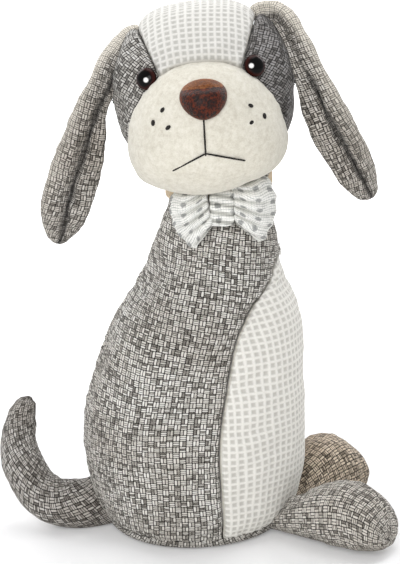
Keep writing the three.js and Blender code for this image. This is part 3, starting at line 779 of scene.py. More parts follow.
@dataclass(frozen=True)
class Leather:
    """Pebbled brown leather, lighter above its fold."""

    def material(self, name: str) -> bpy.types.Material:
        """Wires the pebbles and the lighter top."""
        b = Bench(name)
        place = b.place()
        pebbles = b.node("ShaderNodeTexVoronoi", {}, {"Vector": place, "Scale": 950.0})
        clouds = b.noise(place, 240.0, 3.0, 0.6)
        lower = b.ramp(clouds * 0.8 + pebbles * 0.45, [(0.46, "0d0301"), (0.64, "2a0c05"), (0.8, "582310")])
        upper = b.ramp(clouds * 0.8 + pebbles * 0.3, [(0.35, "45220c"), (0.55, "6e3e1d"), (0.72, "8a5730")])
        colour = b.blend(b.step(b.value("tone"), 0.4, 0.6), lower, upper)
        rim = b.ramp(b.value("seam"), [(0.0, "7a3c20"), (1.0, "000000")])
        colour = b.blend(0.3, colour, rim, "SCREEN")
        shine = b.step(clouds, 0.3, 0.7) * 0.2 + 0.42
        return b.finish(
            Base_Color=colour,
            Roughness=shine,
            Specular_IOR_Level=0.2,
            Normal=b.bump(pebbles * 0.6 + clouds * 0.4, 0.55, 0.9),
        )


@dataclass(frozen=True)
class EyePlastic:
    """Polished plastic: a black pupil, a dark red-brown rim and a painted white highlight where a lamp's
    reflection would fall.
    """

    # Radius of the painted highlight, in millimetres.
    painted_highlight: float = 1.25

    def material(self, name: str) -> bpy.types.Material:
        """Wires the rings, and the painted highlight at the point that the seam distance counts from."""
        b = Bench(name)
        rings = [(0.0, "030303"), (0.66, "040303"), (0.78, "260c09"), (0.92, "35120d"), (0.99, "140606")]
        # Painted highlight: a white spot where the reflection of a lamp would fall.
        spot = 1.0 - b.step(b.value("seam"), self.painted_highlight - 0.4, self.painted_highlight + 0.4)
        return b.finish(
            Base_Color=b.blend(spot, b.ramp(b.value("tone"), rings), linear("fbfbfb")),
            Roughness=0.06,
            IOR=1.36,
            Specular_IOR_Level=0.15,
        )


@dataclass(frozen=True)
class Yarn:
    """Sewing thread or a woven tape with fibres along it."""

    dark: str = "0b0a09"
    light: str = "2a2623"
    fibre: float = 1.0

    def material(self, name: str) -> bpy.types.Material:
        """Wires the fibres."""
        b = Bench(name)
        fibres = b.noise(b.place(), 1500.0 / self.fibre, 2.0, 0.6)
        colour = b.ramp(fibres, [(0.35, self.dark), (0.65, self.light)])
        return b.finish(
            Base_Color=colour,
            Roughness=0.8,
            Specular_IOR_Level=0.3,
            Normal=b.bump(fibres, 0.15 * self.fibre, 0.6),
        )


@dataclass(frozen=True)
class Moulded:
    """Plain moulded plastic with a faint grain."""

    colour: str = "d8d6cf"

    def material(self, name: str) -> bpy.types.Material:
        """Wires the grain."""
        b = Bench(name)
        grain = b.noise(b.place(), 900.0, 2.0)
        tone = b.blend(b.step(grain, 0.4, 0.6) * 0.15, linear(self.colour), linear("9b9992"))
        return b.finish(Base_Color=tone, Roughness=0.5, Normal=b.bump(grain, 0.05, 0.4))


Finish = Tweed | Waffle | Fleece | SpottedCotton | Leather | EyePlastic | Yarn | Moulded
FIBRE = Yarn("e3e1da", "fbfaf7", 3.0)


# Making and finishing pieces


@dataclass
class Piece:
    """A piece of the dog from its first sheet to its finished mesh.

    Attributes:
        name: The object's name.
        sheet: Its first shape.
        finish: What it is made of.
        nodes: The frame's nodes that it stands for.
        slot: The record's material slot; not used.
        fill: How tightly it is stuffed, or None where it is not padded; not used.
        wall: Thickness of the cloth where the sheet is open.
        levels: Times that its faces are divided.
        pressure: Pressure of the stuffing, or 0 where the shape is modelled directly.
        cap: How far the stuffing may move a point, in millimetres.
        pucker: Height of the gathers along its seams.
        gather: Length of one gather.
        crease: Height and length of its soft wrinkles.
        floor: The piece rests on the floor and stays above it.
        relief: Its weave is raised in the shape itself.
        seed: Start of its wrinkles.
    """

    name: str
    sheet: Sheet
    finish: Finish
    nodes: Sequence[str]
    slot: str
    fill: float | None = None
    wall: float = 0.0
    levels: int = 2
    pressure: float = 0.0
    cap: float = 3.0
    pucker: float = 0.45
    gather: float = 7.0
    crease: tuple[float, float] = (0.35, 24.0)
    floor: bool = False
    relief: bool = False
    seed: int = 1
    thing: bpy.types.Object = field(init=False)

    def __post_init__(self) -> None:
        """Makes the first mesh."""
        self.thing = self.sheet.mesh(self.name)

    def stuff(self) -> None:
        """Gives the mesh its cloth, held at the seams."""
        seam = numbers(self.thing.data, "seam")
        holds = self.thing.vertex_groups.new(name="seams")
        for index in np.flatnonzero(seam < HELD):
            holds.add([int(index)], 1.0 if seam[index] < 1 else 0.5, "REPLACE")
        cloth = self.thing.modifiers.new("stuffing", "CLOTH")
        settings = cloth.settings
        settings.quality = 6
        settings.mass = 0.25
        settings.tension_stiffness = settings.compression_stiffness = 12
        settings.shear_stiffness = 6
        settings.bending_stiffness = 1.2
        settings.use_pressure = True
        settings.uniform_pressure_force = self.pressure
        settings.shrink_min = -0.025
        settings.vertex_group_mass = "seams"
        settings.effector_weights.gravity = 0
        cloth.point_cache.frame_start = 1
        cloth.point_cache.frame_end = SETTLE_FRAMES

    def settle(self, graph: bpy.types.Depsgraph) -> None:
        """Keeps where the stuffing moved the cloth, within its cap.

        Args:
            graph: The scene evaluated at the last frame.
        """
        mesh = self.thing.data
        start, ways = vectors(mesh, "co"), vectors(mesh, "normal")
        moved = vectors(self.thing.evaluated_get(graph).data, "co") - start
        out = np.einsum("ij,ij->i", moved, ways)
        usual = float(np.median(out))
        size = np.linalg.norm(moved, axis=1, keepdims=True)
        limit = self.cap * MM
        moved = moved * np.minimum(1, limit / np.maximum(size, 1e-9))
        moved -= ways * min(usual, limit) * TAKEN_BACK
        write(mesh, start + moved)
        self.thing.modifiers.clear()
        LOG.info("%s settled, usual move %.1f mm", self.name, usual / MM)

    def complete(self) -> None:
        """Divides, wrinkles and thickens the mesh, and hands it to the frame."""
        if self.levels:
            smooth = self.thing.modifiers.new("divide", "SUBSURF")
            smooth.levels = smooth.render_levels = self.levels
            plain(self.thing)
        self._wrinkle()
        if self.wall:
            cloth = self.thing.modifiers.new("wall", "SOLIDIFY")
            cloth.thickness = self.wall * MM
            cloth.offset = -1
            plain(self.thing)
        self.thing.data.shade_smooth()
        dress(self.thing, self.finish.material(self.name))
        deliver(self.thing, self.nodes)
        triangles = sum(len(face.vertices) - 2 for face in self.thing.data.polygons)
        LOG.info("%s: %d triangles", self.name, triangles)

    def _wrinkle(self) -> None:
        """Adds the gathers along the seams and soft wrinkles between them."""
        mesh = self.thing.data
        places, ways = vectors(mesh, "co"), vectors(mesh, "normal")
        spots = places / MM
        seam, run = np.maximum(numbers(mesh, "seam"), 0), numbers(mesh, "run")
        # Gathers run across the seam, unevenly, and die out a little less than one gather away.
        sway = ripples(spots, 3 * self.gather, self.seed) * 1.4
        gathers = np.sin(run * (2 * np.pi / self.gather) + sway)
        rise = self.pucker * gathers * np.exp(-((seam / (0.8 * self.gather)) ** 1.5))
        # Long wrinkles with short ones on them, and hardly any at the seam itself.
        height, length = self.crease
        rise += height * ripples(spots, length, self.seed + 50)
        rise += 0.3 * height * ripples(spots, length * 0.35, self.seed + 90)
        rise *= 0.2 + 0.8 * ease(seam, 0.2, 2.0)
        if self.relief:
            weave = self.finish.relief(numbers(mesh, "across"), numbers(mesh, "along"))
            rise += weave * ease(seam, 0.4, 1.6)
        if self.floor:
            rise *= ease(spots[:, 2], 0.5, 6)
        places = places + ways * rise[:, None] * MM
        if self.floor:
            places[:, 2] = np.maximum(places[:, 2], 0)
        write(mesh, places)


def vectors(mesh: bpy.types.Mesh, kind: str) -> Array:
    """Every vertex's place or normal."""
    values = np.zeros(len(mesh.vertices) * 3, np.float32)
    mesh.vertices.foreach_get(kind, values)
    return values.reshape(-1, 3).astype(float)


def numbers(mesh: bpy.types.Mesh, name: str) -> Array:
    """A number that every vertex carries."""
    values = np.zeros(len(mesh.vertices), np.float32)
    mesh.attributes[name].data.foreach_get("value", values)
    return values.astype(float)


def write(mesh: bpy.types.Mesh, places: Array) -> None:
    """Moves every vertex to its place in metres."""
    mesh.vertices.foreach_set("co", places.astype(np.float32).ravel())
    mesh.update()


def plain(thing: bpy.types.Object) -> None:
    """Applies every modifier of an object."""
    graph = bpy.context.evaluated_depsgraph_get()
    made = thing.evaluated_get(graph)
    mesh = bpy.data.meshes.new_from_object(made, preserve_all_data_layers=True, depsgraph=graph)
    thing.modifiers.clear()
    thing.data = mesh


def dress(thing: bpy.types.Object, material: bpy.types.Material) -> None:
    """Gives a whole object one material."""
    thing.data.materials.clear()
    thing.data.materials.append(material)


def deliver(thing: bpy.types.Object, nodes: Sequence[str]) -> None:
    """Hands a piece to the frame.

    Args:
        thing: The finished piece.
        nodes: The nodes that it stands for.
    """
    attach(thing, "root")
    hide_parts(*nodes)


def loft(
    rings: Array,
    seam: Array | None = None,
    run: Array | None = None,
    tone: Array | None = None,
    inside: Point | None = None,
) -> Sheet:
    """A closed form through rings of points.

    Args:
        rings: Rings x sides x 3.
        seam: Distance of each point from a seam, or none at all.
        run: Distance of each point along it.
        tone: A share that the finish reads.
        inside: A point inside the form.

    Returns:
        The sheet, closed at both ends.
    """
    round_it = run_of(rejoined(rings), 1)
    widest = round_it[:, -1].max()
    turn = round_it / np.maximum(round_it[:, -1:], 1e-6) - 0.5
    across = turn * (0.5 * widest + 0.5 * round_it[:, -1:])
    along = np.broadcast_to(run_of(rings, 0).mean(1)[:, None], across.shape)
    far = np.full(rings.shape[:2], FAR)
    return Sheet(
        rings,
        np.stack([across, along], -1),
        far if seam is None else seam,
        far * 0 if run is None else run,
        wrapped=True,
        closed=(True, True),
        inside=inside,
        tone=tone,
    )


# Body


@dataclass
class Body:
    """The body's cover: two sides, the belly panel and the base, all sewn together."""

    heights: tuple[float, ...] = (7, 17, 35, 55, 72, 90, 109, 127, 145, 164, 183, 194, 224)
    backs: tuple[float, ...] = (
        -51.5, -56.5, -61.8, -63.8, -62.5, -57.5, -50.5, -42, -31, -23, -16, -15.5, -15.5,
    )
    fronts: tuple[float, ...] = (51, 56, 60, 60.6, 60.4, 60.2, 60, 57.2, 51, 45.8, 42, 40.5, 40.5)
    depths: tuple[float, ...] = (53, 56, 58, 58.5, 57.5, 54, 50, 45, 39, 33.5, 30, 29, 29)
    foot: float = 7.0
    egg: float = 0.08
    base_seam: float = 5.5
    foot_tuck: float = 0.4
    foot_shade: float = 0.9
    even_below: float = 40.0
    heart: Point = (0, 0, 80)
    belly_top: float = 162.0
    belly_heights: tuple[float, ...] = (5.5, 30, 55, 75, 93, 107, 121, 129, 136, 148, 154, 159, 162)
    belly_angles: tuple[float, ...] = (72, 75, 76, 75.3, 74.2, 73.6, 70.6, 65.6, 59, 36, 27, 14, 0)
    cover_top: float = 214.0
    pitch: float = 3.9
    waffle_pitch: float = 3.3
    side_width: float = 100.0
    belly_width: float = 140.0
    weave_slope: float = 0.13
    wall: float = 1.0

    def __post_init__(self) -> None:
        """Joins the sizes with smooth curves."""
        self.back = Profile(self.heights, self.backs)
        self.front = Profile(self.heights, self.fronts)
        self.depth = Profile(self.heights, self.depths)
        self.belly_angle = Profile(self.belly_heights, self.belly_angles)

    def outline(self, around: Any, height: Any) -> Array:
        """The form's point at an angle round it, 0 in front, and a height."""
        height = np.asarray(height, float)
        low = np.maximum(0, self.foot - height)
        tucked = self.foot - np.sqrt(self.foot**2 - low**2)
        level = np.maximum(height, self.foot)
        back, front = self.back(level) + tucked, self.front(level) - tucked
        cos, sin = np.cos(np.radians(around)), np.sin(np.radians(around))
        deep = (self.depth(level) - tucked) * (1 - self.egg * cos)
        return spread((front + back) / 2 + (front - back) / 2 * cos, deep * sin, height)

    def normal(self, around: Any, height: Any) -> Array:
        """The outward direction of the form."""
        around, height = np.asarray(around, float), np.asarray(height, float)
        side = self.outline(around + 0.1, height) - self.outline(around - 0.1, height)
        up = self.outline(around, height + 0.1) - self.outline(around, np.maximum(0, height - 0.1))
        return unit(np.cross(side, up))

    def side(self, sign: int) -> Sheet:
        """One side, from the belly seam round to the seam down the back.

        Args:
            sign: -1 for the near side and 1 for the far one.

        Returns:
            The panel's sheet.
        """
        rise = seam_steps(self.cover_top - self.base_seam, self.pitch)[: 1 - len(SEAM_ROWS)]
        heights = self.base_seam + rise
        steps = seam_steps(self.side_width, self.pitch)
        grid_height = heights[:, None] + 0 * steps
        start = np.where(heights < self.belly_top, self.belly_angle(heights), 0)[:, None]
        fine = np.linspace(0, 1, 80)
        paths = self.outline(start + (180 - start) * fine, heights[:, None] + 0 * fine)
        width = run_of(paths, 1)[:, -1:]
        inner = steps[-1] - 2 * RIM
        distance = np.minimum(steps, RIM) + np.clip(steps - RIM, 0, inner) * (width - 2 * RIM) / inner
        distance = distance + np.clip(steps - (steps[-1] - RIM), 0, RIM)
        around = start + (180 - start) * np.clip(distance / width, 0, 1)
        points = self.outline(around * sign, grid_height)
        out = self.normal(around * sign, grid_height) * sign
        out *= np.sign((out * (points - spread(0, 0, grid_height))).sum(-1, keepdims=True))
        middle = np.array([np.interp(90, a, d) for a, d in zip(around, distance)])[:, None]
        slope = self.weave_slope * ease(grid_height, 60, 130) * (1 - ease(grid_height, 170, 200))
        across = (distance - middle) * sign
        along = run_of(self.outline(90 + 0 * heights, heights)[:, None], 0) + slope * across * -sign
        return self._sewn(points, out, np.stack([across, along], -1), distance, width)

    def belly(self) -> Sheet:
        """The leaf-shaped belly panel."""
        rise = seam_steps(self.belly_top - self.base_seam, self.waffle_pitch)
        heights = (self.base_seam + rise)[:-1]
        steps = seam_steps(self.belly_width, self.waffle_pitch)
        half = np.maximum(self.belly_angle(heights), 0.6)[:, None]
        fine = np.linspace(-1, 1, 80)
        width = run_of(self.outline(half * fine, heights[:, None] + 0 * fine), 1)[:, -1:]
        distance = fitted(steps, width, 0.2)
        around = half * (2 * distance / width - 1)
        grid_height = heights[:, None] + 0 * distance
        points = self.outline(around, grid_height)
        out = self.normal(around, grid_height)
        along = run_of(self.outline(0 * heights, heights)[:, None], 0) + 0 * distance
        level = np.interp(self.even_below, heights, width[:, 0])
        usual = np.where(heights < self.even_below, level, width[:, 0])
        across = (distance / width - 0.5) * usual[:, None]
        return self._sewn(points, out, np.stack([across, along], -1), distance, width)

    def _sewn(self, points: Array, out: Array, weave: Array, distance: Array, width: Array) -> Sheet:
        """A panel drawn in along the seams at its two sides and at the foot.

        Args:
            points: The panel on the plain form.
            out: The outward direction at each point.
            weave: Where each point is on the cloth.
            distance: Distance of each point from the panel's first seam.
            width: The panel's width at each row.

        Returns:
            The panel's sheet.
        """
        height = points[..., 2]
        seams = np.stack([distance, width - distance, height - self.base_seam], -1)
        seam = np.clip(seams.min(-1), 0, None)
        low = seams.argmin(-1) == 2
        run = np.where(low, distance, height)
        points = points - out * tuck(seam, np.where(low, self.foot_tuck, TUCK))[..., None]
        return Sheet(points, weave, seam + self.foot_shade * low, run, inside=self.heart)

    def base(self) -> Sheet:
        """The base, which wraps up to its seam round the foot."""
        around = np.arange(72) * 5.0
        climb = np.array([5.5, 4.9, 4.0, 3.0, 2.0, 1.1, 0.4, 0.0])
        wall = self.outline(around[None], climb[:, None] + 0 * around)
        out = self.normal(around[None], climb[:, None] + 0 * around)
        seam = self.base_seam - climb[:, None] + 0 * around
        wall = wall - out * tuck(seam, self.foot_tuck)[..., None]
        wall[..., 2] = np.maximum(wall[..., 2], 0)
        foot = self.outline(around, 0 * around)
        rings = np.array([0.94, 0.86, 0.74, 0.6, 0.45, 0.3, 0.15, 0.05])[:, None, None]
        middle = foot.mean(0)
        floor = middle + (foot - middle) * rings
        points = np.concatenate([wall, floor])
        shut = rejoined(points)
        spill = np.concatenate([climb, 0 * rings.ravel()])[:, None, None]
        weave = shut[..., :2] + unit(shut[..., :2]) * spill
        seam = np.concatenate([seam + self.foot_shade, np.full(floor.shape[:2], 40.0)])
        run = np.broadcast_to(np.radians(around) * 52, seam.shape)
        return Sheet(points, weave, seam, run, wrapped=True, closed=(False, True), inside=(0, 0, 20))

    def pieces(self) -> list[Piece]:
        """Every panel of the cover."""
        shared = {"fill": 0.95, "wall": self.wall, "pressure": 3.0, "cap": 2.4}
        shared.update(pucker=0.28, relief=True)
        return [
            Piece("side_near", self.side(-1), Tweed(), ["body_side_near"], "tweed", seed=3, **shared),
            Piece("side_far", self.side(1), Tweed(), ["body_side_far"], "tweed", seed=4, **shared),
            Piece("belly", self.belly(), Waffle(), ["belly_panel"], "waffle_cloth", seed=5, **shared),
            Piece(
                "base", self.base(), Tweed(), ["base_panel"], "tweed", fill=0.9, wall=self.wall, levels=1,
                pucker=0.2, crease=(0.1, 20), floor=True,
            ),
        ]

    def filling(self) -> Piece:
        """The fibre inside the cover."""
        around, heights = np.arange(40) * 9.0, np.linspace(6, 190, 24)
        grid = heights[:, None] + 0 * around
        points = self.outline(around[None], grid) - self.normal(around[None], grid) * 5.5
        sheet = loft(points, inside=self.heart)
        return Piece(
            "filling", sheet, FIBRE, ["body_filling"], "fibre", fill=0.9, crease=(0.8, 14), seed=9, **SEAMLESS
        )

    def sandbag(self) -> Piece:
        """The tied bag of sand that keeps the door open."""
        bag = Ball((0, 0, 24), (37, 35, 17), 2.6, 0.0)
        turn, off = turns(32), np.radians(np.linspace(3, 177, 18))[:, None]
        points = bag.reach(spread(np.sin(off) * np.cos(turn), np.sin(off) * np.sin(turn), np.cos(off)))
        sheet = loft(points, inside=(0, 0, 24))
        return Piece(
            "sandbag", sheet, Yarn("8d7750", "c4ad85", 4.0), ["sand_bag"], "sand_bag", fill=0.8,
            crease=(0.7, 18), seed=12, **SEAMLESS,
        )


# Head


@dataclass
class Head:
    """The head's cover, its muzzle and the frame that carries the face and ears."""

    centre: Point = (4.4, -8, 246.7)
    pitch: float = 10.4
    roll: float = 6.0
    ball: Ball = field(default_factory=lambda: Ball((0, 0, 0), (49.2, 49, 49), 2.3, -0.05))
    muzzle_ball: Ball = field(default_factory=lambda: Ball((-0.2, -26, -15), (41, 40, 36.6), 2.3, 0.2))
    crown_top: float = 34.0
    crown_nape: float = 4.5
    unrolled: tuple[tuple[float, ...], tuple[float, ...]] = (
        (0, 25, 45, 75, 95, 180),
        (0, 25, 42, 60, 76, 161),
    )
    cheeks: tuple[tuple[float, ...], tuple[float, ...]] = (
        (185, 203, 219, 234, 250, 266, 282, 296, 312, 330, 345),
        (0, 0.4, 0.9, 0.9, 1.4, 2.0, 1.2, 0.1, 0.2, 0.3, 0),
    )
    side_reach: float = 70.0
    crown_width: float = 60.0
    wall: float = 1.0
    step: float = 7.5

    def __post_init__(self) -> None:
        """Works out the head's place."""
        roll = Matrix.Rotation(math.radians(-self.roll), 4, "Y")
        pitch = Matrix.Rotation(math.radians(-self.pitch), 4, "X")
        self.matrix = Matrix.Translation(self.centre) @ (roll @ pitch)

    def place(self, points: Array) -> Array:
        """Points of the head in the frame's axes."""
        return placed(points, self.matrix)

    def surface(self, over: Any, aside: Any) -> Array:
        """The head's point at an angle over the top, 0 in front, and one off to the side."""
        over, aside = np.radians(over), np.radians(aside)
        flat = np.cos(aside)
        return self.ball.reach(spread(np.sin(aside), -flat * np.cos(over), flat * np.sin(over)))

    def crown_edge(self, over: Array) -> Array:
        """The angle off to the side at which the crown strip ends."""
        turn = np.mod(over, 360)
        there = np.where(turn < 300, 1 - ease(turn, 250, 275), ease(turn, 335, 358))
        aside = np.full(over.shape, 20.0)
        for _ in range(8):
            rise = (self.surface(over, aside)[..., 2] / self.ball.radii[2] + 1) / 2
            width = self.crown_nape + (self.crown_top - self.crown_nape) * rise
            aside = np.degrees(np.arcsin(np.clip(width * there / self.ball.radii[0], 0, 0.95)))
        return np.maximum(aside, 0.3)

    def _draw_in(self, points: Array, seam: Array) -> Array:
        """Points drawn in along their seam and where the muzzle is sewn on."""
        rim = np.maximum(self.muzzle_ball.gap(points), 0)
        return points - self.ball.normal(points) * np.maximum(tuck(seam), tuck(rim, 1.6))[..., None]

    def side(self, sign: int) -> Sheet:
        """One side of the head, round to the pole under its ear."""
        radius = self.ball.radii[0]
        over = np.arange(0, 360, self.step)
        edge = self.crown_edge(over)
        reach = np.radians(90 - edge) * radius
        steps = seam_steps(self.side_reach, 3.8)[: -len(SEAM_ROWS)]
        share = np.clip(steps - RIM, 0, None) / (self.side_reach - RIM)
        distance = np.minimum(steps, RIM)[:, None] + share[:, None] * (reach - RIM)
        distance = np.concatenate([distance, reach[None] * 0.985])
        aside = edge + np.degrees(distance / radius)
        points = self.surface(over[None] + 0 * aside, sign * aside)
        shut = rejoined(points)
        azimuth = np.degrees(np.arctan2(np.abs(shut[..., 0]), -shut[..., 1]))
        across = np.radians(Profile(*self.unrolled)(azimuth)) * radius * sign
        weave = np.stack([across, np.arcsin(unit(shut)[..., 2]) * radius], -1)
        rim = np.maximum(self.muzzle_ball.gap(points), 0)
        seam = np.minimum(distance, rim)
        run = np.broadcast_to(np.radians(over) * radius * 0.8, seam.shape)
        return Sheet(
            self.place(self._draw_in(points, distance)), weave, seam, run, wrapped=True, closed=(False, True),
            inside=self.centre,
        )

    def crown(self) -> Sheet:
        """The strip over the top of the head, from the muzzle to the nape."""
        radius = self.ball.radii[2]
        over = np.arange(-14, 270, 4.0)
        edge = self.crown_edge(over)[:, None]
        width = 2 * np.radians(edge) * radius
        distance = fitted(seam_steps(self.crown_width, 3.3), width, 0.25)
        aside = edge * (2 * distance / width - 1)
        points = self.surface(over[:, None] + 0 * aside, aside)
        seam = np.minimum(distance, width - distance)
        weave = np.stack([points[..., 0], np.radians(over)[:, None] * radius + 0 * aside], -1)
        run = np.broadcast_to(np.radians(over)[:, None] * radius, seam.shape)
        sewn = np.minimum(seam, np.maximum(self.muzzle_ball.gap(points), 0))
        return Sheet(self.place(self._draw_in(points, seam)), weave, sewn, run, inside=self.centre)

    def muzzle(self, mouth: Callable[[Array], Array]) -> Sheet:
        """The muzzle, a soft ball that is sewn to the front of the head.

        Args:
            mouth: Gives how far a point seen from the front is from the mouth's thread.

        Returns:
            The muzzle's sheet.
        """
        turn = turns(64)
        off = np.radians(np.concatenate([[2, 5, 9], np.arange(14, 150, 5.0), [158, 172]]))[:, None]
        points = self.muzzle_ball.reach(fan(off, turn))
        flat = (points - self.muzzle_ball.centre) * [1, 0, 1]
        angle = np.mod(np.degrees(np.arctan2(flat[..., 2], flat[..., 0])), 360)
        full = (np.linalg.norm(flat, axis=-1) / self.muzzle_ball.radii[2]) ** 5
        points = points + unit(flat) * (Profile(*self.cheeks)(angle) * full)[..., None]
        rim = np.maximum(self.ball.gap(points), 0)
        pull = np.maximum(tuck(rim, 1.4), 0.7 * np.exp(-((mouth(points) / 2.2) ** 2)))
        points = points - self.muzzle_ball.normal(points) * pull[..., None]
        shut = rejoined(points)
        run = np.broadcast_to(turn * 38, rim.shape)
        return Sheet(
            self.place(points), shut[..., [0, 2]], rim, run, wrapped=True, closed=(True, True),
            inside=tuple(self.place(np.array(self.muzzle_ball.centre))),
        )

    def filling(self) -> Piece:
        """The fibre inside the head."""
        ways = fan(np.radians(np.linspace(4, 176, 20))[:, None], turns(32))
        skull, cheeks = self.ball.inner(6), self.muzzle_ball.inner(6)
        points = skin((0, -10, -6), ways, lambda p: np.minimum(skull.level(p), cheeks.level(p)) > 1, 5, 90)
        return Piece(
            "head_fibre", loft(self.place(points), inside=self.centre), FIBRE, ["head_filling"], "fibre",
            fill=0.9, crease=(0.8, 14), seed=21, **SEAMLESS,
        )

    def pieces(self, mouth: Callable[[Array], Array]) -> list[Piece]:
        """The cover's panels and the muzzle."""
        shared = {"fill": 0.95, "wall": self.wall, "pressure": 3.0, "cap": 1.6, "pucker": 0.3}
        top = Waffle((3.8, 3.6), cell_shade="c3c2be", rib="ebeae7")
        # Darker tints for the temples, the right one darkest: painted shade.
        left, right = [
            Tweed(angle=38, tint_and_shade=tint_and_shade, width=2.6, height=2.5, weft=2) for tint_and_shade in ("d2d2d2", "9f9ea1")
        ]
        return [
            Piece(
                "crown", self.crown(), top, ["crown_panel"], "waffle_cloth", seed=31, relief=True, **shared
            ),
            Piece("temple_left", self.side(-1), left, ["head_side_left"], "tweed", seed=32, **shared),
            Piece("temple_right", self.side(1), right, ["head_side_right"], "tweed", seed=33, **shared),
            Piece(
                "snout", self.muzzle(mouth), Fleece(), ["muzzle"], "fleece", fill=0.95, pucker=0.2,
                gather=9.0, crease=(0.3, 22), seed=34,
            ),
        ]


# Face


class Stitch(Enum):
    """Which way each stitch lies against its row."""

    ALONG = "along"
    ACROSS = "across"


@dataclass
class Stitcher:
    """Lays stitches along a path with one Geometry Nodes tree."""

    unevenness: float = 0.12
    tree: bpy.types.NodeTree = field(init=False)
    sockets: dict[str, str] = field(init=False, default_factory=dict)

    def __post_init__(self) -> None:
        """Builds the tree: a path, resampled, with a rounded stitch at each point."""
        self.tree = bpy.data.node_groups.new("stitches", "GeometryNodeTree")
        kinds = {"Geometry": "Geometry", "Seed": "Int", "Material": "Material"}
        for name in ("Geometry", "Spacing", "Length", "Radius", "Unevenness", "Seed", "Material"):
            kind = "NodeSocket" + kinds.get(name, "Float")
            made = self.tree.interface.new_socket(name, in_out="INPUT", socket_type=kind)
            self.sockets[name] = made.identifier
        self.tree.interface.new_socket("Geometry", in_out="OUTPUT", socket_type="NodeSocketGeometry")
        given = self._add("NodeGroupInput")
        path = self._add("GeometryNodeMeshToCurve", sockets={0: given["Geometry"]})
        spaced = self._add(
            "GeometryNodeResampleCurve",
            {"mode": "LENGTH"},
            {"Curve": path[0], "Length": given["Spacing"]},
        )
        way = self._add("GeometryNodeInputNamedAttribute", {"data_type": "FLOAT_VECTOR"}, {"Name": "way"})
        lie = self._add("FunctionNodeAlignRotationToVector", {"axis": "X"}, {"Vector": way["Attribute"]})
        sizes = {0: given["Length"], 1: given["Radius"], 2: given["Radius"]}
        size = self._add("ShaderNodeCombineXYZ", sockets=sizes)
        uneven = self._add("FunctionNodeRandomValue", {"data_type": "FLOAT"}, {"Seed": given["Seed"]})
        chosen = next(o for o in uneven if o.enabled and o.type == "VALUE")
        swing = self._maths("MULTIPLY_ADD", chosen, given["Unevenness"], 1.0)
        taper = self._add("GeometryNodeInputNamedAttribute", {"data_type": "FLOAT"}, {"Name": "taper"})
        share = self._maths("MULTIPLY", swing, taper["Attribute"])
        scale = self._add("ShaderNodeVectorMath", {"operation": "SCALE"}, {0: size[0], "Scale": share})
        bead = self._add("GeometryNodeMeshUVSphere", sockets={"Segments": 8, "Rings": 6, "Radius": 1.0})
        places = {"Points": spaced[0], "Instance": bead[0], "Rotation": lie[0], "Scale": scale[0]}
        laid = self._add("GeometryNodeInstanceOnPoints", sockets=places)
        solid = self._add("GeometryNodeRealizeInstances", sockets={0: laid[0]})
        smooth = self._add("GeometryNodeSetShadeSmooth", sockets={"Geometry": solid[0]})
        dye = {"Geometry": smooth[0], "Material": given["Material"]}
        self._add("NodeGroupOutput", sockets={0: self._add("GeometryNodeSetMaterial", sockets=dye)[0]})

    def _add(self, kind: str, settings: Options | None = None, sockets: Options | None = None) -> Any:
        """Adds a node with its settings and sockets, and returns its outputs."""
        return add_node(self.tree, kind, settings or {}, sockets or {}).outputs

    def _maths(self, operation: str, *values: Any) -> bpy.types.NodeSocket:
        """Adds a Math node and returns its result."""
        return self._add("ShaderNodeMath", {"operation": operation}, dict(enumerate(values)))[0]

    def sew(
        self,
        name: str,
        rows: Sequence[Array],
        material: bpy.types.Material,
        spacing: float,
        length: float,
        radius: float,
        lie: Stitch = Stitch.ALONG,
        outward: Sequence[Array] | None = None,
        seed: int = 1,
    ) -> bpy.types.Object:
        """Sews rows of stitches as one plain mesh.

        Args:
            name: The piece's name.
            rows: Each row's path in millimetres.
            material: The thread.
            spacing: Distance between stitches.
            length: Length of a stitch.
            radius: Half its thickness.
            lie: Which way the stitches lie.
            outward: The outward direction along each row, for stitches that lie across it.
            seed: Start of the unevenness.

        Returns:
            The sewn piece.
        """
        places, edges, ways, tapers = [], [], [], []
        for number, row in enumerate(rows):
            first = len(places)
            tangent = unit(np.gradient(row, axis=0))
            taper = np.ones(len(row))
            if lie is Stitch.ACROSS:
                tangent = unit(np.cross(tangent, outward[number]))
                taper = 0.55 + 0.45 * np.sqrt(1 - np.linspace(-1, 1, len(row)) ** 2)
            tapers.extend(taper)
            places.extend(row)
            ways.extend(tangent)
            edges.extend((first + i, first + i + 1) for i in range(len(row) - 1))
        mesh = bpy.data.meshes.new(name)
        mesh.from_pydata(np.array(places) * MM, edges, [])
        directions = mesh.attributes.new("way", "FLOAT_VECTOR", "POINT")
        directions.data.foreach_set("vector", np.array(ways).ravel())
        mesh.attributes.new("taper", "FLOAT", "POINT").data.foreach_set("value", tapers)
        thing = bpy.data.objects.new(name, mesh)
        bpy.context.scene.collection.objects.link(thing)
        tool = thing.modifiers.new("stitches", "NODES")
        tool.node_group = self.tree
        values = {"Spacing": spacing * MM, "Length": length * MM / 2, "Radius": radius * MM}
        values.update(Unevenness=self.unevenness, Seed=seed, Material=material)
        for key, value in values.items():
            tool[self.sockets[key]] = value
        plain(thing)
        return thing


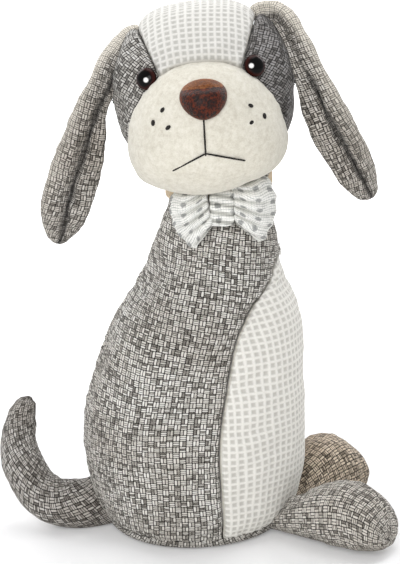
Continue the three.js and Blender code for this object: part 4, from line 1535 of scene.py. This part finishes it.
@dataclass
class Face:
    """The eyes, nose, mouth and whiskers, all on the head's own axes."""

    head: Head
    # Each eye's name, x, height, and where its painted highlight sits from its middle.
    eyes: tuple[tuple[str, float, float, tuple[float, float]], ...] = (
        ("eye_left", -28.1, 9.8, (0.2, -0.7)), ("eye_right", 27.8, 10.7, (-2.0, 0.1)),
    )
    eye_radius: float = 5.9
    eye_dome: float = 4.2
    nose_place: tuple[float, float] = (0.4, -3.8)
    nose_half: tuple[float, float] = (12.2, 10.6)
    nose_depth: float = 9.5
    nose_taper: float = 0.16
    fold_height: float = 5.4
    fork: tuple[float, float] = (-1.4, -31.5)
    mouth_ends: tuple[tuple[float, float], ...] = ((-18.5, -38.4), (17.4, -37))
    thread: float = 0.46
    sides: int = 48
    whiskers: tuple[Point, ...] = (
        (-21.1, -7.1, 35), (-26.7, -13.1, 75), (-19.1, -16.3, 25),
        (24, -9.5, -10), (30.5, -15.5, 70), (23.5, -18.1, 20),
    )

    def mouth_lines(self) -> list[Array]:
        """The mouth's three lines seen from the front, as rows of x and z."""
        top = (self.nose_place[0] - 0.9, self.nose_place[1] - self.nose_half[1] + 0.6)
        sides = [np.linspace(self.fork, end, 14)[1:] for end in self.mouth_ends]
        return [np.linspace(top, self.fork, 14), *sides]

    def mouth_gap(self, points: Array) -> Array:
        """How far points seen from the front are from the mouth's thread."""
        spots = np.concatenate(self.mouth_lines())
        apart = np.linalg.norm(points[..., None, [0, 2]] - spots, axis=-1)
        return apart.min(-1) + np.where(points[..., 1] > -30, 50, 0)

    def nose(self) -> Piece:
        """The padded leather nose with the fold across it."""
        turn = turns(self.sides)
        sizes = np.array([0.06, 0.14, 0.24, 0.34, 0.44, 0.54, 0.64, 0.73, 0.81, 0.88, 0.935, 0.97, 0.99, 1.0])
        z = self.nose_half[1] * sizes[:, None] * np.sin(turn)
        wide = np.cos(turn) * (1 + self.nose_taper * z / self.nose_half[1])
        x = self.nose_half[0] * sizes[:, None] * wide
        flat = self.head.muzzle_ball.front(self.nose_place[0] + x, self.nose_place[1] + z)
        dome = self.nose_depth * np.sqrt(np.maximum(0, 1 - sizes**2.4))[:, None]
        crease = 1.5 * np.exp(-(((z - self.fold_height) / 1.1) ** 2)) * (1 - sizes[:, None] ** 5)
        lip = 0.8 * np.exp(-(((z - self.fold_height + 2.4) / 1.6) ** 2)) * (1 - sizes[:, None] ** 4)
        front = flat - spread(0, dome - crease + lip - 0.3, 0)
        backs = [flat[-1] * 0.94 + flat[0].mean(0) * 0.06, flat[-1] * 0.5 + flat[0].mean(0) * 0.5]
        rings = np.concatenate([front, np.array(backs) + [0, 0.6, 0]])
        above_fold = ease(z, self.fold_height - 0.6, self.fold_height + 0.9)
        tone = np.concatenate([above_fold, np.zeros((len(backs), len(turn)))])
        rim = np.broadcast_to((1 - np.append(sizes, [1, 1]))[:, None] * 9, tone.shape)
        sheet = loft(self.head.place(rings), rim.copy(), tone=tone)
        return Piece(
            "snout_leather", sheet, Leather(), ["nose"], "leather", fill=0.9, crease=(0.12, 7), seed=41,
            **SEAMLESS,
        )

    def eye(self, name: str, x: float, z: float, painted_highlight: tuple[float, float]) -> Piece:
        """One eye: a polished dome with a thin edge, pressed into the cloth.

        Args:
            name: The eye.
            x: Where it is seen from the front.
            z: How high it is.
            painted_highlight: Where its painted highlight is from its middle, seen from the front.

        Returns:
            The eye.
        """
        seat = self.head.ball.front(x, z)
        look = unit(self.head.ball.normal(seat) + np.array([0, -0.35, 0]))
        aside = unit(np.cross(look, [0, 0, 1]))
        up = np.cross(aside, look)
        lean = np.radians(np.array([2, 6, 11, 16, 21, 26, 31, 37, 44, 54, 64, 74, 83, 90]))
        across = np.concatenate([np.sin(lean), [0.98, 0.8, 0.3]]) * self.eye_radius
        rise = np.concatenate([np.cos(lean) * (self.eye_dome - 0.6) + 0.6, [0.0, -0.3, -0.5]])
        turn = turns(self.sides)
        ring = np.cos(turn)[:, None] * aside + np.sin(turn)[:, None] * up
        rings = seat + across[:, None, None] * ring + rise[:, None, None] * look
        tone = np.broadcast_to((across / self.eye_radius)[:, None], rings.shape[:2]).copy()
        # Middle of the painted highlight; each point's distance from it goes into the seam attribute.
        spot = seat + look * (self.eye_dome * 0.4) + np.array([painted_highlight[0], 0, painted_highlight[1]])
        off = np.linalg.norm((rings - spot)[..., [0, 2]], axis=-1)
        sheet = loft(self.head.place(rings), off, tone=tone)
        return Piece(name + "_dome", sheet, EyePlastic(), [name], "eye_plastic", crease=(0, 9), **SEAMLESS)

    def sew(self, stitcher: Stitcher) -> None:
        """Sews the mouth and the whiskers."""
        black = Yarn().material("black_thread")
        ball = self.head.muzzle_ball
        rows = []
        for line in self.mouth_lines():
            points = ball.front(line[:, 0], line[:, 1])
            rows.append(self.head.place(points - ball.normal(points) * 0.05))
        mouth = stitcher.sew("mouth_thread", rows, black, 1.3, 2.8, self.thread)
        deliver(mouth, ["mouth_stitch"])
        for number, (x, z, turn) in enumerate(self.whiskers, start=1):
            lean = math.radians(turn + 90)
            way = np.array([math.cos(lean), math.sin(lean)])
            line = (x, z) + np.linspace(-0.75, 0.75, 6)[:, None] * way
            points = ball.front(line[:, 0], line[:, 1])
            out = ball.normal(points)
            row = self.head.place(points + out * 0.15)
            outward = self.head.place(out) - self.head.place(0 * out)
            dot = stitcher.sew(
                f"whisker_{number}", [row], black, 0.3, 3.1, 0.45, Stitch.ACROSS, [outward], number
            )
            deliver(dot, [f"whisker_stitch_{number}"])


# Ears, tail and paws


def sweep(line: Profile, steps: Array, ring: Callable[[float], Array]) -> Array:
    """Rings of points across a line.

    Args:
        line: The middle line from 0 to 1.
        steps: Shares of the line.
        ring: Gives each ring's sideways and forward distances.

    Returns:
        Rings x sides x 3.
    """
    rings = []
    for at in steps:
        along = unit(line(min(1, at + 0.004)) - line(max(0, at - 0.004)))
        side = unit(np.cross(along, [0, -1, 0]))
        forward = np.cross(side, along)
        flat = ring(at)
        rings.append(line(at) + flat[:, :1] * side + flat[:, 1:] * forward)
    return np.array(rings)


def shares(count: int) -> Array:
    """Even shares from 0 to 1."""
    return np.linspace(0, 1, count)


@dataclass
class Ear:
    """A long stuffed ear, folded lengthwise and hung from the side of the head."""

    name: str
    node: str
    line: Sequence[tuple[float, float, float, float]]
    creases: Sequence[tuple[float, float]]
    head: Head
    seed: int
    low_way: float = -1.0
    root: float = 0.03
    fullness: float = 0.75
    fold_depth: float = 0.85
    fold_width: float = 0.16
    step_down: float = 0.34
    fade: tuple[float, float] = (0.1, 0.2)
    sides: int = 48

    def piece(self) -> Piece:
        """The ear, with its fold held by a seam."""
        table = np.array(self.line, float)
        line = Profile(shares(len(table)), table[:, :3])
        half = Profile(shares(len(table)), table[:, 3])
        crease = Profile(*np.array(self.creases).T)
        turn = turns(self.sides)
        steps = np.concatenate([np.linspace(self.root, 0.975, 33), [0.985, 0.994, 1.0]])

        def ring(at: float) -> Array:
            """The folded section of the ear."""
            centre, width = float(crease(at)), float(half(at)) - 0.4
            width = max(width * (1 - ease(at, 0.985, 1.004) * 0.7), 0.6)
            u, v = np.cos(turn), power(np.sin(turn), 0.9)
            groove = self.fold_depth * np.exp(-(((u - centre) / self.fold_width) ** 2))
            low_side = self.step_down * ease(-self.low_way * (centre - u), 0, 0.25)
            fold = np.where(v > 0, np.maximum(groove, low_side), 0)
            fold = fold * float(ease(at, 0.05, 0.2)) * float(1 - ease(at, 0.9, 0.99))
            return np.stack([u * width, v * width * self.fullness * (1 - fold)], -1)

        rings = sweep(line, steps, ring)
        u = np.cos(turn)[None] - crease(steps)[:, None]
        front = np.sin(turn)[None] > 0
        widths = half(steps)[:, None]
        faint = 1.5 * (1 - ease(steps, *self.fade))[:, None]
        # Distance from the crease, which places the gathers and the painted shade along the crease.
        seam = np.where(front, np.abs(u) * widths + faint, FAR)
        run = run_of(rings, 0)
        # Painted rim light: the ear's outer side and the top of its root get a tone that pales the tweed.
        outward = -self.low_way * np.cos(turn)[None] + 0 * u
        top = 0.9 * (1 - ease(steps, 0.1, 0.4))[:, None]
        pale = ease(outward + top, 0.25, 1.1) * (1 - 0.8 * steps[:, None])
        return Piece(
            self.name, loft(self.head.place(rings), seam, run, pale),
            # A darker tint and a near-black seam colour: painted shade over the ear and in its crease.
            Tweed(tint_and_shade="cfccc9", seam_shade="141110", seam_shade_reach=2.2), [self.node], "tweed",
            fill=0.8, pressure=2.5, cap=1.6, pucker=0.4, gather=6.0, crease=(0.4, 16), seed=self.seed,
        )


@dataclass
class Tail:
    """The stuffed tail, which lies on the floor and hooks up."""

    line: tuple[Point, ...] = (
        (-44, -4, 16), (-57, -9, 13.9), (-68, -13, 13.7), (-79.6, -14.5, 16), (-89.8, -13, 23.6),
        (-97, -9, 36), (-99.6, -5, 48), (-98, -1.5, 60.4), (-93.6, 0, 72.4),
    )
    root: float = 15.4
    tip: float = 7.4
    sides: int = 32

    def piece(self) -> Piece:
        """The tail with a seam along its outside."""
        line = Profile(shares(len(self.line)), self.line)
        stations = (0, 0.3, 0.7, 0.9, 0.97, 1)
        radii = (self.root, self.root * 0.88, self.tip * 1.45, self.tip, self.tip * 0.7, self.tip * 0.2)
        radius = Profile(stations, radii)
        turn = turns(self.sides)
        end = [0.9, 0.93, 0.955, 0.975, 0.99, 1.0]
        steps = np.unique(np.round(np.concatenate([shares(40)[1:-1], end]), 4))
        circle = np.stack([np.cos(turn), np.sin(turn)], -1)
        rings = sweep(line, steps, lambda at: float(radius(at)) * circle)
        off = np.abs(np.angle(np.exp(1j * (turn - math.radians(20)))))
        seam = off[None] * radius(steps)[:, None]
        rings[..., 2] = np.maximum(rings[..., 2], 0.2)
        inward = unit(line(steps)[:, None] - rings) * (0.5 * tuck(seam, 1.0))[..., None]
        run = run_of(rings, 0)
        return Piece(
            # A darker tint: painted shade on the tail.
            "tail_cloth", loft(rings + inward, seam, run), Tweed(angle=28, tint_and_shade="cecccb"), ["tail"], "tweed",
            fill=0.85, pressure=2.5, cap=1.2, pucker=0.35, gather=6.0, crease=(0.3, 14), floor=True, seed=52,
        )


@dataclass
class Paw:
    """A stuffed paw: two halves sewn along a ridge over its top."""

    name: str
    node: str
    root: tuple[float, float]
    turn: float
    length: float
    height: float
    tint_and_shade: str
    seed: int
    angle: float = -20.0
    widths: tuple[float, ...] = (0.45, 0.72, 0.95, 1, 0.85, 0.55, 0.12)
    rises: tuple[float, ...] = (0.3, 0.6, 0.93, 1, 0.82, 0.52, 0.15)
    toe_lift: float = 0.35
    half_width: float = 19.5
    ridge: float = 1.3
    ridge_side: float = 0.42
    sides: int = 44

    def piece(self) -> Piece:
        """The paw, flat where it rests on the floor."""
        stations = (0, 0.25, 0.5, 0.7, 0.85, 0.95, 1)
        width, rise = Profile(stations, self.widths), Profile(stations, self.rises)
        turn = turns(self.sides)
        cos, sin = power(np.cos(turn), 0.85), power(np.sin(turn), 0.85)
        steps = np.concatenate([np.linspace(0, 0.9, 26), [0.925, 0.95, 0.97, 0.985, 0.995, 1.0]])
        rings, seams = [], []
        for at in steps:
            high = self.height * float(rise(at))
            lift = (self.height - high) * self.toe_lift * at
            half = self.half_width * float(width(at))
            across = half * cos
            away = np.abs(across - self.ridge_side * half) + np.where(sin > 0, 0, 50)
            bead = self.ridge * np.exp(-((away / 1.2) ** 2)) - 0.35 * np.exp(-(((away - 2.4) / 1.2) ** 2))
            z = np.maximum(0, lift + high / 2 * (1.04 + sin) + bead)
            rings.append(spread(self.length * at, across, z))
            seams.append(away)
        flat = np.array(rings)
        matrix = Matrix.Translation((*self.root, 0)) @ Matrix.Rotation(math.radians(self.turn), 4, "Z")
        points = placed(flat, matrix)
        return Piece(
            self.name, loft(points, np.array(seams), run_of(points, 0)),
            Tweed(angle=self.angle, tint_and_shade=self.tint_and_shade), [self.node], "tweed", fill=0.9, pressure=2.5,
            cap=1.2, pucker=0.3, gather=5.0, crease=(0.35, 15), floor=True, seed=self.seed,
        )


# Neck band and bow


@dataclass
class Bow:
    """The tape round the neck and the pleated cotton bow on it."""

    body: Body
    level: float = 196.0
    band: tuple[float, float] = (9.0, 1.6)
    stand_off: float = 2.2
    clearance: float = 0.3
    loop_gap: float = 0.4
    place: tuple[float, float] = (13.9, 189.0)
    knot_size: Point = (13.2, 7.0, 19.8)
    tilt: float = 8.0
    knot_tilt: float = 1.0
    root: float = 2.0
    neck: float = 6.6
    wings: tuple[tuple[str, float, float, float, float, float], ...] = (
        ("bow_loop_left", 193, 41, 26, 6.4, 4.4), ("bow_loop_right", -12, 44, 27.4, 6.2, 3.6),
    )
    puff: float = 4.6
    rim: float = 2.4
    sweep_back: float = 4.0
    pleats: float = 5.0
    sides: int = 48

    def __post_init__(self) -> None:
        """Works out the bow's place on the band."""
        out = float(self.body.depth(self.place[1])) + self.stand_off + self.clearance + self.knot_size[1] / 2
        place = Matrix.Translation((self.place[0], -out, self.place[1]))
        self.matrix = place @ Matrix.Rotation(math.radians(-self.tilt), 4, "Y")
        self.knot_matrix = place @ Matrix.Rotation(math.radians(-self.knot_tilt), 4, "Y")

    def tape(self) -> Piece:
        """The neck band, a flat tape with rounded edges."""
        around = np.arange(0, 360, 5.0)
        middle = self.body.outline(around, self.level + 0 * around)
        lean = (middle[:, 0] - self.place[0]) * math.tan(math.radians(self.tilt - 2))
        half, thick = self.band[0] / 2, self.band[1]
        flat = half - 0.5
        section = [(0.6, -half), (thick, -flat), (thick, 0), (thick, flat), (0.6, half), (0.3, 0)]
        rings = []
        for out, rise in section:
            height = self.level + lean + rise
            rings.append(self.body.outline(around, height) + self.body.normal(around, height) * out)
        points = np.array(rings).swapaxes(0, 1)
        rows, sides = points.shape[:2]
        shut = rejoined(points)
        round_it = np.broadcast_to(np.arange(rows)[:, None] * 2.6, (rows, sides + 1))
        weave = np.stack([run_of(shut, 1), round_it], -1)
        points = np.concatenate([points, points[:1]])
        weave = np.concatenate([weave, weave[:1]])
        far = np.full(points.shape[:2], FAR)
        sheet = Sheet(points, weave, far, 0 * far, wrapped=True)
        return Piece(
            "neck_tape", sheet, Yarn("bfa888", "dccbb1", 2.5), ["neck_band"], "tape", crease=(0.12, 12),
            seed=61, **SEAMLESS,
        )

    def section(self, deep: float, high: float, wave: Callable[[Array], Array]) -> tuple[Array, Array]:
        """A flattened loop of cloth.

        Args:
            deep: Half its depth.
            high: Half its height.
            wave: How the pleats change the depth along the height.

        Returns:
            Its y and z.
        """
        turn = np.radians((np.arange(self.sides) + 1) * 360 / self.sides)
        cos, sin = np.cos(turn), np.sin(turn)
        return deep * power(sin, 0.7) * (1 + wave(cos)), high * cos

    def _fold(self, across: Array) -> Array:
        """0 in the bottom of a pleat and 1 on its top."""
        return np.abs(np.sin(self.pleats * np.pi / 2 * (across + 0.12)))

    def knot(self) -> Piece:
        """The knot, a band wrapped over the middle."""
        half = self.knot_size[0] / 2
        rings, pleat_shades = [], []
        for at in (-1, -0.97, -0.9, -0.75, -0.5, -0.25, 0, 0.25, 0.5, 0.75, 0.9, 0.97, 1):
            full = 1 - 0.09 * at**8
            dent = 1 - 0.06 * math.cos(2 * math.pi * at)
            deep, high = self.knot_size[1] / 2 * full * dent, self.knot_size[2] / 2 * full
            y, z = self.section(deep, high, lambda cos: 0.09 * np.cos(13 * cos + 1.5 * at))
            rings.append(spread(half * at, y, z + 0.3))
            # Painted shade: the tone is low in the knot's folds and at its ends.
            pleat_shades.append(0.62 + 0.38 * np.cos(13 * z / high + 1.5 * at) - 0.3 * at**8)
        sheet = loft(placed(np.array(rings), self.knot_matrix), tone=np.array(pleat_shades))
        return Piece(
            "knot", sheet, SpottedCotton(), ["bow_knot"], "spotted_cotton", fill=0.5, crease=(0.2, 8),
            seed=62, **SEAMLESS,
        )

    def loop(
        self, name: str, middle: float, opening: float, reach: float, gather: float, lift: float, seed: int
    ) -> Piece:
        """One loop, a fan of pleats gathered into the knot.

        Args:
            name: The node that it stands for.
            middle: Angle of its middle pleat, 0 to the right.
            opening: Half the angle of the fan.
            reach: Distance of its outer edge.
            gather: How much its gathered end is taller than a plain fan, each way.
            lift: How much higher it is gathered than the knot's middle.
            seed: Start of its wrinkles.

        Returns:
            The loop.
        """
        side = math.copysign(1, math.cos(math.radians(middle)))
        half = self.knot_size[0] / 2
        rings, pleat_shades = [], []
        for at in np.concatenate([np.linspace(0, 0.9, 16), [0.94, 0.97, 0.99, 1.0]]):
            radius = self.neck + (reach - self.neck) * at
            deep = (self.rim + self.puff * math.sin(math.pi * (at * 0.9 + 0.05))) * (1 - 0.8 * at**8)
            depth = 0.55 * (1 - 0.5 * at)

            def wave(cos: Array) -> Array:
                """Pleats that are sharp at the knot and open out."""
                return depth * (2 * self._fold(cos) ** 0.7 - 1.2)

            y, z = self.section(deep, 1.0, wave)
            # Painted shade: the tone is low in the bottoms of the pleats, most near the knot.
            pleat_shades.append(1 - (1 - self._fold(z)) ** 1.4 * (1 - 0.6 * at))
            angle = np.radians(middle + opening * z * side)
            scallop = 1 + 0.03 * at**4 * np.cos(self.pleats * np.pi * z)
            x = self.root + side * radius * scallop * np.cos(angle) - 1.3 * (1 - at) ** 2
            x = np.maximum(x, half - 0.7)
            high = radius * scallop * np.sin(angle) + (gather * z + lift) * (1 - at) ** 1.5
            rings.append(spread(side * x, y + self.sweep_back * at**2, high))
        points = self._off_neck(placed(np.array(rings), self.matrix))
        return Piece(
            name.replace("bow_loop", "pleats"), loft(points, tone=np.array(pleat_shades)), SpottedCotton(), [name],
            "spotted_cotton", fill=0.4, crease=(0.35, 12), seed=seed, **SEAMLESS,
        )

    def _off_neck(self, points: Array) -> Array:
        """Points of a loop, kept in front of the neck and its tape."""
        x, y, level = np.moveaxis(points, -1, 0)
        depth = self.body.depth(level) + self.stand_off + self.loop_gap
        front, back = self.body.front(level), self.body.back(level)
        middle, half = (front + back) / 2, (front - back) / 2
        share = np.clip((x - middle) / (half + self.stand_off), -1, 1)
        wall = -depth * np.sqrt(1 - share**2)
        return spread(x, np.where(np.abs(x - middle) < half, np.minimum(y, wall), y), level)

    def pieces(self) -> list[Piece]:
        """The tape, the knot and both loops."""
        loops = [self.loop(*wing, seed) for seed, wing in enumerate(self.wings, start=63)]
        return [self.tape(), self.knot(), *loops]


# Light, floor and camera


@dataclass
class Studio:
    """A plain pale room with soft light and the camera of the photograph."""

    target: Point = (0.0022, 0.0, 0.139)
    elevation: float = 15.0
    distance: float = 1.2
    lens: float = 138.0
    world: float = 0.37

    def camera(self) -> None:
        """Makes the camera, level and in front of the dog's near side."""
        data = bpy.data.cameras.new("camera")
        data.lens, data.sensor_width, data.clip_start = self.lens, 36.0, 0.05
        camera = bpy.data.objects.new("camera", data)
        lift = math.radians(self.elevation)
        back = Vector((0, -math.cos(lift), math.sin(lift)))
        camera.location = Vector(self.target) + back * self.distance
        camera.rotation_mode = "QUATERNION"
        camera.rotation_quaternion = (-back).to_track_quat("-Z", "Y")
        bpy.context.scene.collection.objects.link(camera)
        bpy.context.scene.camera = camera

    def lamp(self, name: str, place: Point, size: float, level: float, shape: str) -> None:
        """Adds a soft lamp that faces the dog.

        Args:
            name: The lamp's name.
            place: Where it hangs.
            size: Its width.
            level: How brightly it alone lights a white card that faces it.
            shape: Its outline.
        """
        data = bpy.data.lights.new(name, "AREA")
        data.shape, data.size = shape, size
        way = Vector(self.target) - Vector(place)
        data.energy = level * math.pi**2 * way.length_squared
        lamp = bpy.data.objects.new(name, data)
        lamp.location = place
        lamp.rotation_mode = "QUATERNION"
        lamp.rotation_quaternion = way.to_track_quat("-Z", "Y")
        bpy.context.scene.collection.objects.link(lamp)

    def floor(self) -> None:
        """A pale floor that keeps the dog's shadow, and a white surround."""
        mesh = bpy.data.meshes.new("floor")
        mesh.from_pydata([(-6, -6, 0), (6, -6, 0), (6, 6, 0), (-6, 6, 0)], [], [(0, 1, 2, 3)])
        mesh.transform(Matrix.Translation((0, 0, -0.0004)))
        floor = bpy.data.objects.new("floor", mesh)
        bpy.context.scene.collection.objects.link(floor)
        b = Bench("floor")
        seen = self._seen(b)
        soft = b.noise(b.place(), 3.0, 2.0)
        own = b.blend(soft * 0.05, linear("f4f3f1"), linear("ecebe8"))
        away = b.node("ShaderNodeVectorMath", {"operation": "LENGTH"}, {0: b.place()}, "Value")
        bright = seen * (0.21 + 0.4 * b.step(away, 0.12, 0.45) + 0.45 * b.step(away, 0.45, 1.8))
        b.finish(
            Base_Color=b.blend(seen, own, (0.8, 0.8, 0.81, 1.0)), Roughness=0.9, Specular_IOR_Level=0.0,
            Emission_Color=b.join(bright, bright, bright), Emission_Strength=1.0,
        )
        dress(floor, b.owner)

    @staticmethod
    def _seen(b: Bench) -> Wire:
        """1 where the camera, a shiny surface or clear plastic sees the surround."""
        kinds = ("Is Camera Ray", "Is Glossy Ray", "Is Transmission Ray")
        camera, shiny, clear = [b.node("ShaderNodeLightPath", {}, {}, kind) for kind in kinds]
        return b.maths("MAXIMUM", b.maths("MAXIMUM", camera, shiny), clear)

    def sky(self) -> None:
        """Even light from all round, which the camera sees as white."""
        b = Bench("surround", bpy.data.worlds, "Background")
        sockets = {"Value": self._seen(b), "To Min": self.world, "To Max": 1.0}
        level = b.node("ShaderNodeMapRange", {}, sockets)
        bpy.context.scene.world = b.finish(Color=(1, 1, 1, 1), Strength=level)

    def build(self) -> None:
        """Sets up the whole room."""
        self.camera()
        self.floor()
        self.sky()
        self.lamp("front", (-0.25, -1.25, 0.75), 0.75, 0.5, "DISK")
        self.lamp("left", (-0.9, 0.85, 1.0), 0.9, 0.44, "SQUARE")
        self.lamp("right", (0.85, 0.9, 1.0), 0.9, 0.4, "SQUARE")
        self.lamp("top", (0.05, 0.2, 1.5), 0.9, 0.36, "SQUARE")
        bpy.context.scene.view_settings.view_transform = "Standard"


# Assembly


EAR_LEFT = (
    (-29, 1, 35.6, 4.6), (-37.4, -3, 32.8, 6), (-44.8, -8, 26.6, 6.6), (-50.8, -12, 17.8, 6.8),
    (-55.6, -13, 8, 7.8), (-61.2, -11, -4.2, 9.9), (-68, -6, -20.8, 12.5), (-75, 0, -37.4, 13.6),
    (-80.3, 4, -50, 13.9), (-84.8, 7, -62.2, 11.3), (-88.4, 9, -73, 4.5),
)
EAR_RIGHT = (
    (27.5, 1, 37.6, 4.4), (35.8, -2, 39.6, 5.8), (44.6, -6, 37.6, 6.4), (50, -9, 28.2, 7),
    (53.6, -11, 18.2, 7.4), (57.2, -12, 6.1, 8.6), (60, -11, -4.3, 9.8), (63.7, -8, -17, 11.8),
    (66.9, -6, -25.9, 12.1), (70.7, -3, -35, 11.8), (74.3, 0, -44, 11.2), (78.3, 3, -53.2, 10.2),
    (84, 6, -65.5, 5.5),
)

FOLD_LEFT = ((0, -0.9), (0.36, -0.85), (0.46, -0.46), (0.6, -0.22), (0.8, -0.14), (1, -0.3))
FOLD_RIGHT = ((0, 0.6), (0.25, 0.45), (0.4, 0.26), (0.5, 0.04), (0.65, -0.06), (0.8, -0.1), (1, -0.12))


def settle(pieces: Sequence[Piece]) -> None:
    """Lets the stuffing press out every padded cloth at once.

    Args:
        pieces: The pieces of the dog.
    """
    soft = [piece for piece in pieces if piece.pressure]
    scene = bpy.context.scene
    for piece in soft:
        piece.stuff()
    for number in range(1, SETTLE_FRAMES + 1):
        scene.frame_set(number)
    graph = bpy.context.evaluated_depsgraph_get()
    for piece in soft:
        piece.settle(graph)
    scene.frame_set(1)


def main() -> None:
    """Builds the dog and its room."""
    logging.basicConfig(level=logging.INFO, format="%(name)s: %(message)s")
    studio = Studio()
    studio.build()
    body, head = Body(), Head()
    face = Face(head)
    pieces = [
        *body.pieces(),
        *head.pieces(face.mouth_gap),
        Ear("lop_left", "ear_left", EAR_LEFT, FOLD_LEFT, head, 71).piece(),
        Ear(
            "lop_right", "ear_right", EAR_RIGHT, FOLD_RIGHT, head, 72, low_way=1.0, fade=(0.35, 0.5)
        ).piece(),
        Tail().piece(),
        Paw(
            "foot_near", "paw_near", (40, -14), -34, 79, 35, "e2dfdb", 81, angle=-4,
            widths=(0.45, 0.72, 0.95, 1, 0.93, 0.74, 0.25), toe_lift=0.18,
        ).piece(),
        Paw(
            # A browner, darker tint: painted shade on the far paw.
            "foot_far", "paw_far", (38, 12), 26, 68, 38.5, "dccebd", 82,
            rises=(0.3, 0.62, 0.93, 0.94, 0.7, 0.42, 0.12), toe_lift=0.25,
        ).piece(),
        *Bow(body).pieces(),
        face.nose(),
        *[face.eye(*eye) for eye in face.eyes],
        body.filling(),
        body.sandbag(),
        head.filling(),
    ]
    settle(pieces)
    for piece in pieces:
        piece.complete()
    face.sew(Stitcher())
    for name in ("eye_washer_left", "eye_washer_right"):
        dress(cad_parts[name], Moulded().material(name))


if __name__ == "__main__":
    main()
